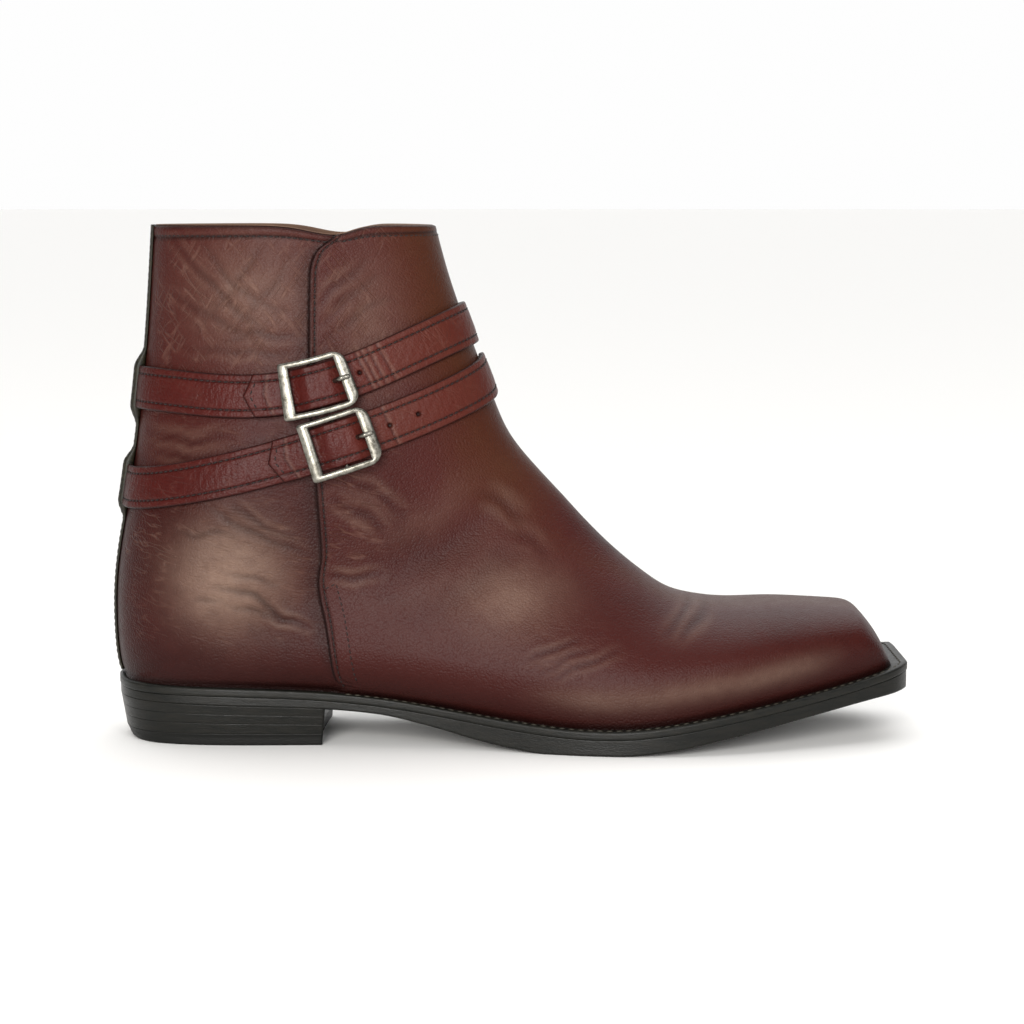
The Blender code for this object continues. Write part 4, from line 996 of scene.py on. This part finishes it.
# heel: lifts and top piece, raked in toward the floor
def heelOutline(drop, grow=0.0):
    rake = boot["heelRake"] * drop
    rim = soleRim(0.8 * rake - grow) + (0.2 * rake, 0.0)
    half = len(rim) // 2
    breast = boot["heelLength"] - 0.0012 * drop + grow
    sides = []
    for chain in (rim[:half + 1], np.concatenate((rim[:1], rim[:half:-1]))):
        cut = int(np.argmax(chain[:, 0] > breast))
        t = (breast - chain[cut - 1, 0]) / (chain[cut, 0] - chain[cut - 1, 0])
        sides.append(evenly(np.concatenate((chain[:cut], (chain[cut - 1] * (1 - t) + chain[cut] * t)[None])), 90))
    outer, inner = sides
    t = np.linspace(0.0, 1.0, 42)[1:-1]
    across = outer[-1] * (1 - t[:, None]) + inner[-1] * t[:, None]
    across[:, 0] -= 0.0014 * np.sin(math.pi * t)
    return np.concatenate((outer, across, inner[:0:-1]))


heelTop = float(undersideHeight(0.5 * boot["heelLength"]))
pieceTop = boot["topPieceThickness"]
liftSplits = (0.0, 0.36, 0.68, 1.0)
liftGroove = 0.00007


def dropAt(z):
    return 1.0 - z / heelTop


def liftRing(part, inset):  # part of the way up the lifts, which follow the seat's slope at their top
    outline = heelOutline(dropAt(pieceTop + part * (heelTop - pieceTop)), -inset)
    return outline, lambda x: part * (undersideHeight(x) + 0.0002 - pieceTop), pieceTop


plate("heel_lifts", [
    liftRing(part, inset) for low, high in zip(liftSplits[:-1], liftSplits[1:]) for part, inset in (
        (low, liftGroove), (low + 0.008, 0.0), (low + 0.03, 0.0),
        (high - 0.03, 0.0), (high - 0.008, 0.0), (high, liftGroove),
    )
], soleEdge, "heel_stack")


def treadRing(drop, z, grow=0.0):  # the back corner is worn round
    ring = heelOutline(drop, grow)
    worn = 0.0042
    shift = worn - math.sqrt(max(worn ** 2 - max(worn - z, 0.0) ** 2, 0.0))
    ring[:, 0] += 0.75 * shift * np.clip((0.020 - ring[:, 0]) / 0.020, 0.0, 1.0) ** 2
    return ring, np.zeros_like, z


plate("heel_tread", [
    treadRing(1.30, 0.0, -0.0006),
    treadRing(1.16, 0.0),
    treadRing(1.08, 0.0003),
    treadRing(1.02, 0.0008),
    treadRing(0.98, 0.0016),
    treadRing(0.92, 0.0028),
    treadRing(0.88, 0.0036),
    treadRing(dropAt(pieceTop - 0.0004), pieceTop - 0.0004),
    treadRing(dropAt(pieceTop), pieceTop - 0.0001),
    treadRing(dropAt(pieceTop), pieceTop, -0.0001),
], heelRubber, "heel_top_piece")
print("stage: sole and heel")

# straps and buckles
strapBuild = {
    "width": 0.0165,
    "thickness": 0.0022,
    "crown": 0.00028,
    "point": 0.0040,
    "tipReach": 0.0275,
    "stitchInset": 0.0030,
    "stitch": (0.00235, 0.0019, 0.00030),
    "edgeRadius": 0.0007,
    "grooveDepth": 0.00032,
    "foldDepth": 0.00016,
    "foldLean": 0.08,
    "seamClearance": 0.0012,
}
buckleBuild = {
    "length": 0.0266,
    "barWidth": 0.0043,
    "height": 0.0222,
    "sideBar": 0.0024,
    "thickness": 0.0017,
    "pinRadius": 0.0009,
    "prongRadius": 0.0011,
    "roundCorner": 0.0052,
    "leftCorner": 0.0012,
    "around": 120,
    "profile": 25,
}
airGap = boot["airGap"]
strapLayer = strapBuild["thickness"] + airGap
pinLevel = airGap + strapLayer + buckleBuild["pinRadius"]
frameLevel = 2.0 * strapLayer + 0.0021
threads = bmesh.new()


def strapSection():  # side and height of points round the strap: grooved top, rounded edges, flat back
    half, thick = 0.5 * strapBuild["width"], strapBuild["thickness"]
    r = strapBuild["edgeRadius"]
    top = np.linspace(-(half - r), half - r, 47)
    groove = strapBuild["grooveDepth"] * bell(np.abs(top), half - strapBuild["stitchInset"], 0.00045)
    points = list(zip(top, thick + strapBuild["crown"] * (1.0 - (top / half) ** 2) - groove))
    edge = [
        (half - r + r * math.cos(math.radians(turn)), level + r * math.sin(math.radians(turn)))
        for turn, level in ((60, thick - r), (30, thick - r), (0, thick - r), (0, r), (-45, r), (-90, r))
    ]
    return np.array(points + edge + [(0.0, 0.0)] + [(-s, h) for s, h in edge[::-1]] + points[:1])


def strapPiece(name, node, band, start, end, levelAt, pointed=False, holes=(), folds=()):
    section = strapSection()
    around = len(section)
    half, thick = 0.5 * strapBuild["width"], strapBuild["thickness"]
    inset = half - strapBuild["stitchInset"]
    made = bmesh.new()

    def sectionAt(v):
        return section[np.rint(v * (around - 1)).astype(int)].T

    def sinks(dist, side):  # 1 in a punched hole, 0 beside it
        return most(0.0 * dist, *(1.0 - ease((np.hypot(dist - place, side) - 0.0006) / 0.0006) for place in holes))

    def lay(u, v):
        side, lift = sectionAt(v)
        dist = start + (end - start) * u
        level = levelAt(dist)
        if pointed:
            tip = np.clip((dist - start) / 0.0011, 0.0, 1.0)
            lift = 0.5 * thick + (lift - 0.5 * thick) * (0.5 + 0.5 * np.sqrt(1.0 - (1.0 - tip) ** 2))
            near = np.clip(1.0 - (dist - start) / 0.016, 0.0, 1.0)
            dist = dist + strapBuild["point"] * near * np.abs(side) / half
        sunk = 0.0013 * sinks(dist, side)
        for place in folds:
            sunk = sunk + strapBuild["foldDepth"] * bell(dist - strapBuild["foldLean"] * side, place, 0.0005)
        uneven = 0.00006 * np.sin(dist * 2100.0 + side * 700.0) * np.sin(dist * 830.0 - side * 400.0)
        return band.point(dist, side, level + lift + (lift > 0.6 * thick) * (uneven - sunk))

    verts, u, v, layer = mappedGrid(made, max(12, int(round((end - start) / 0.00048))), around, lay)
    side, dist = sectionAt(v)[0], start + (end - start) * u
    leaned = dist - strapBuild["foldLean"] * side
    burnAndShade = most(
        0.9 * np.clip((np.abs(side) / half - 0.90) / 0.08, 0.0, 1.0),
        0.6 * bell(np.abs(side), inset, 0.0005),
        0.8 * pointed * bell(dist, start, 0.0007),
        # darker toward the back seam
        0.7 * bell(np.minimum(dist, band.total - dist), 0.0, 0.012),
        # painted shade in the punched holes and in the fold troughs
        sinks(dist, side),
        *(0.5 * bell(leaned, place, 0.0004) for place in folds),
    )
    # a painted highlight on each fold's ridge
    rub = most(0.0 * dist, *(0.22 * bell(leaned, place + 0.0010, 0.0006) for place in folds))
    tone = 0.30 + 0.45 * ease((dist - band.flap) / 0.03) * ease((band.total - dist - band.flap) / 0.03)
    paintWearAndLight(verts, layer, burnAndShade, rub, tone, np.full_like(tone, 0.30))
    weld(made)
    closeEnds(made)
    sealed(made)
    finishPiece(name, made, strapLeather, [node])

    def sew(dists, sides, level):
        normals = outward(*band.place(dists, sides))
        stitchRow(threads, band.point(dists, sides, levelAt(dists) + level), normals, *strapBuild["stitch"])

    corner = (start + strapBuild["point"] + 0.0024) if pointed else start + 0.002
    dists = np.linspace(corner, end - 0.002, int((end - corner) / 0.0009))
    inGroove = thick + 0.6 * strapBuild["crown"] - strapBuild["grooveDepth"] + 0.00022
    for way in (-1.0, 1.0):
        sew(dists, np.full_like(dists, way * inset), inGroove)
    if pointed:  # the two rows meet round the point
        sides = np.linspace(-inset, inset, 15)
        sew(start + 0.0027 + (strapBuild["point"] - 0.0003) * np.abs(sides) / half, sides, thick + 0.0003)


def roundBar(made, path, radius, taper=1.0):
    # a rod through the path: a small circle carried along it and bridged ring to ring, smaller at both ends
    path = np.array(path).reshape(-1, 3) + bootShift
    tangent = np.gradient(path, axis=0)
    tangent /= np.linalg.norm(tangent, axis=1, keepdims=True)
    count = len(path)
    at = np.clip(np.arange(-2, count + 2), 0, count - 1)
    beyond = radius * np.concatenate(((-0.8, -0.5), np.zeros(count), (0.5, 0.8)))
    sizes = radius * np.concatenate(((0.45, 0.85), np.linspace(1.0, taper, count), (0.85 * taper, 0.45 * taper)))
    loops = []
    for spot, way, size in zip(path[at] + tangent[at] * beyond[:, None], tangent[at], sizes):
        way = Vector(way)
        a = way.cross(Vector((0.31, 0.17, 0.93))).normalized()
        turn = Matrix((a, way.cross(a), way)).transposed().to_4x4()
        lie = Matrix.Translation(Vector(spot)) @ turn
        circle = bmesh.ops.create_circle(made, segments=16, radius=size, cap_ends=False, matrix=lie)["verts"]
        loops.append(edgesOf(circle))
    for first, second in zip(loops[:-1], loops[1:]):
        bmesh.ops.bridge_loops(made, edges=first + second)
    for loop in (loops[0], loops[-1]):
        bmesh.ops.contextual_create(made, geom=loop)


def buckleFrame(tag, band, middle):  # a wide flat left bar and round corners at the right, with a pin behind
    right, tall = 0.5 * buckleBuild["length"], 0.5 * buckleBuild["height"]
    innerHalf = tall - buckleBuild["sideBar"]
    corner, small = buckleBuild["roundCorner"], buckleBuild["leftCorner"]
    run = []
    for cx, cy, size, first in (
        (right - corner, tall - corner, corner, 90.0), (right - corner, corner - tall, corner, 0.0),
        (small - right, small - tall, small, -90.0), (small - right, tall - small, small, 180.0),
    ):
        angle = np.radians(first - 90.0 * np.arange(9) / 8.0)
        run.extend(zip(cx + size * np.cos(angle), cy + size * np.sin(angle)))
    around = buckleBuild["around"]
    outerRing = evenly(np.array(run + run[:1]), around)
    innerRight = right - buckleBuild["barWidth"]
    innerRing = np.clip(outerRing, (-innerRight, -innerHalf), (innerRight, innerHalf))
    made = bmesh.new()

    def lay(u, v):
        k = np.rint(u * (around - 1)).astype(int)
        angle = 2.0 * math.pi * v
        across = 0.5 + 0.5 * np.cos(angle)
        lift = 0.5 + 0.5 * np.sign(np.sin(angle)) * np.abs(np.sin(angle)) ** 0.9
        spot = innerRing[k] * (1.0 - across)[:, None] + outerRing[k] * across[:, None]
        return band.point(middle + spot[:, 0], spot[:, 1], frameLevel + buckleBuild["thickness"] * lift)

    mappedGrid(made, around, buckleBuild["profile"], lay)
    weld(made)
    post = innerHalf + 0.5 * buckleBuild["sideBar"]
    midLevel = frameLevel + 0.5 * buckleBuild["thickness"]
    path = [(-post, midLevel), (-post, pinLevel + 0.0008), (0.0008 - post, pinLevel)]
    path += [(y, pinLevel) for y in np.linspace(0.0024 - post, post - 0.0024, 9)]
    path += [(post - 0.0008, pinLevel), (post, pinLevel + 0.0008), (post, midLevel)]
    roundBar(made, [band.point(middle, y, level) for y, level in path], buckleBuild["pinRadius"])
    bmesh.ops.recalc_face_normals(made, faces=made.faces)
    finishPiece("buckle_frame_" + tag, made, nickel, ["buckle_" + tag])


def buckleProng(tag, band, middle):
    radius = buckleBuild["prongRadius"]
    restLevel = frameLevel + buckleBuild["thickness"] + 0.0002 + radius
    reach = 0.5 * buckleBuild["length"] - 0.4 * buckleBuild["barWidth"]
    knots = np.array((
        (buckleBuild["pinRadius"] + airGap + radius, pinLevel), (0.0040, pinLevel + 0.0004),
        (0.0062, pinLevel + 0.0018), (0.0084, restLevel - 0.0006), (0.0100, restLevel), (reach, restLevel),
    ))
    at = np.linspace(0.0, len(knots) - 1.0, 22)
    ways, levels = (splineColumn(column, at) for column in knots.T)
    made = bmesh.new()
    roundBar(made, [band.point(middle + s, 0.0, level) for s, level in zip(ways, levels)], radius, 0.8)
    sealed(made)
    finishPiece("buckle_prong_" + tag, made, nickel, ["prong_" + tag])


def buckledStrap(tag, row, sag, sagPower, buckleX, holeXs, foldOffsets):
    band = Band(row, sag, sagPower)
    middle = band.atX(buckleX)
    clearance = strapBuild["seamClearance"]

    def frontLevel(dist):  # over the rear strap, over the pin, then down on the upper
        s = dist - middle
        high = pinLevel + buckleBuild["pinRadius"] + airGap
        overRear = airGap + strapLayer
        rise = overRear + (high - overRear) * ease((s + 0.0085) / 0.006)
        fall = ease((s - 0.0045) / 0.0095)
        return rise * (1.0 - fall) + airGap * fall

    strapPiece("front_strap_" + tag, "strap_" + tag, band, middle - strapBuild["tipReach"], band.total - clearance,
               frontLevel, True, [band.atX(x) for x in holeXs], [middle + offset for offset in foldOffsets])
    strapPiece("rear_strap_" + tag, "strap_" + tag + "_rear", band, clearance, middle + 0.0010,
               lambda dist: 0.0 * dist + airGap)
    buckleFrame(tag, band, middle)
    buckleProng(tag, band, middle)
    return band


bands = (
    buckledStrap("upper", 1.94, 0.0115, 2.0, 0.262 * boot["soleLength"], (0.0958,),
                 (-0.020, 0.0182, 0.0205, 0.0232, 0.027)),
    buckledStrap("lower", 2.9548, 0.0088, 0.9, 0.289 * boot["soleLength"], (0.1069, 0.1173), (-0.021, 0.0195)),
)
print("stage: straps and buckles")

# backstay: a dark strip down the back seam that rises over the straps
stayBuild = {
    "width": 0.0130,
    "thickness": 0.0012,
    "around": 25,
    "stitchInset": 0.0014,
    "stitch": (0.0026, 0.0021, 0.00024),
}
overReach = 0.5 * strapBuild["width"] - 0.0010
overEnds = np.array((-overReach - 0.0085, -overReach, overReach, overReach + 0.0085))
bulges = [band.place(np.zeros(4), overEnds)[0] for band in bands]


def stayRise(row):  # how high the strip stands, with the straps that it covers
    over = most(*(ease(np.interp(row, edges, (0.0, 1.0, 1.0, 0.0))) for edges in bulges))
    return over * (strapLayer + 0.0006) + stayBuild["thickness"]


def layStay(u, v):
    row = u * cornerRow
    gaps = stayBuild["around"] - 1
    angle = 2.0 * math.pi * np.rint(v * gaps) / gaps
    side = 0.5 * stayBuild["width"] * np.sign(np.cos(angle)) * np.abs(np.cos(angle)) ** 0.35
    rise = 0.5 + 0.5 * np.sign(np.sin(angle)) * np.abs(np.sin(angle)) ** 0.6
    reach = side / metresPer(1, row, 0.02)
    return raised(row, np.where(side <= 0.0, np.abs(reach), 2.0 - reach), stayRise(row) * rise - boot["flapStep"])


made = bmesh.new()
mappedGrid(made, 260, stayBuild["around"], layStay)
weld(made)
closeEnds(made)
sealed(made)
finishPiece("back_strip", made, stayLeather, ["backstay"])
rows = np.linspace(0.06, 7.8, 400)
reach = (0.5 * stayBuild["width"] - stayBuild["stitchInset"]) / metresPer(1, rows, 0.02)
for shares in (reach, 2.0 - reach):
    path = raised(rows, shares, 0.96 * stayRise(rows) - boot["flapStep"])
    stitchRow(threads, path, outward(rows, shares), *stayBuild["stitch"])

# seams of the upper: the flap's edge, a second row from its bar down to the sole, the bar, and the topline
barRow = float(edgeRows[int(np.argmax((edgePlaces[:, 2] < 0.060) & (edgeShares > 0.0)))])
lastSeamRow = footOfFlap - 0.05


def sewUpper(rows, shares, depth):
    base, normals = skin(rows, shares), outward(rows, shares)
    path = base - normals * np.asarray(depth)[..., None]
    path[:, 2] += collarDip(base, rows)
    stitchRow(threads, path, normals, *upperBuild["stitch"])


def sewBesideEdge(rows, insets, mirrored, depth):
    shares = np.interp(rows, edgeRows, edgeShares) + insets / np.interp(rows, edgeRows, halfSpan)
    sewUpper(rows, 2.0 - shares if mirrored else shares, depth)


for mirrored in (False, True):
    sewBesideEdge(np.linspace(0.06, lastSeamRow, 420), upperBuild["edgeStitch"], mirrored, 0.00010)
    rows = np.linspace(barRow, lastSeamRow, 420)
    sewBesideEdge(rows, 0.0072 + 0.0012 * (rows - barRow) / (footOfFlap - barRow), mirrored, 0.0)
    sewBesideEdge(np.full(12, barRow), np.linspace(0.0022, 0.0070, 12), mirrored, 0.0)
shares = np.linspace(0.03, 1.97, 500)
rows = upperBuild["toplineBand"] / metresPer(0, 0.06, shares)
onQuarter = np.minimum(shares, 2.0 - shares) < float(edgeShares[0]) + 0.01
for chosen in (onQuarter & (shares < 1.0), ~onQuarter, onQuarter & (shares > 1.0)):
    sewUpper(rows[chosen], shares[chosen], onQuarter[chosen] * (boot["flapStep"] + 0.00010))
finishPiece("seam_stitching", threads, seamThread)
print("stage: seams")

# stage, light and camera: a wide pale floor, and a room that is bright behind and above and dim in front
floorMesh = bpy.data.meshes.new("studio_floor")
made = bmesh.new()
bmesh.ops.create_circle(made, segments=96, radius=40.0, cap_ends=True)
made.to_mesh(floorMesh)
made.free()
paper = {"Base Color": linear("#f6f5f3"), "Roughness": 0.9, "Specular IOR Level": 0.1}
floorMesh.materials.append(newMaterial("matt studio paper", paper))
floor = addObject("studio_floor", floorMesh)

world = bpy.data.worlds.new("soft room")
world.use_nodes = True
room = world.node_tree
background = room.nodes["Background"]
way = Wire(addNode(room, "ShaderNodeTexCoord").outputs["Generated"])
axes = addNode(room, "ShaderNodeSeparateXYZ", None, {"Vector": way}).outputs


def brighter(axis, start, end, strength):
    inputs = {"Value": Wire(axes[axis]), "From Min": start, "From Max": end, "To Min": 0.26, "To Max": strength}
    return Wire(addNode(room, "ShaderNodeMapRange", None, inputs).outputs["Result"])


behind = brighter("Y", 0.35, 0.70, 0.99)
above = brighter("Z", 0.50, 0.95, 0.60)
room.links.new(behind.sum("MAXIMUM", above).socket, background.inputs["Strength"])
background.inputs["Color"].default_value = linear("#ffffff")
bpy.context.scene.world = world
bpy.context.scene.view_settings.view_transform = "Standard"


def aimed(made, spot, aim):
    made.location = spot
    made.rotation_euler = (Vector(aim) - Vector(spot)).to_track_quat("-Z", "Y").to_euler()


def softLight(name, spot, aim, width, height, power, colour):
    data = bpy.data.lights.new(name, "AREA")
    data.shape = "RECTANGLE"
    data.size, data.size_y, data.energy, data.color = width, height, power, colour
    aimed(addObject(name, data), spot, aim)


softLight("key", (-0.22, -1.75, 0.55), (0.1, 0.0, 0.08), 0.6, 0.9, 36.0, (1.0, 0.985, 0.96))
softLight("front", (0.85, -1.6, 0.85), (0.15, 0.0, 0.05), 0.6, 0.6, 8.0, (0.98, 0.99, 1.0))
sun = bpy.data.lights.new("overhead", "SUN")
sun.energy = 1.7
sun.angle = math.radians(75.0)
addObject("overhead", sun).rotation_euler = (math.radians(-22.0), 0.0, 0.0)

camera = addObject("camera", bpy.data.cameras.new("camera"))
aimed(camera, (0.112, -1.02, 0.208), (0.112, 0.0, 0.086))
camera.data.lens = 93.0
bpy.context.scene.camera = camera
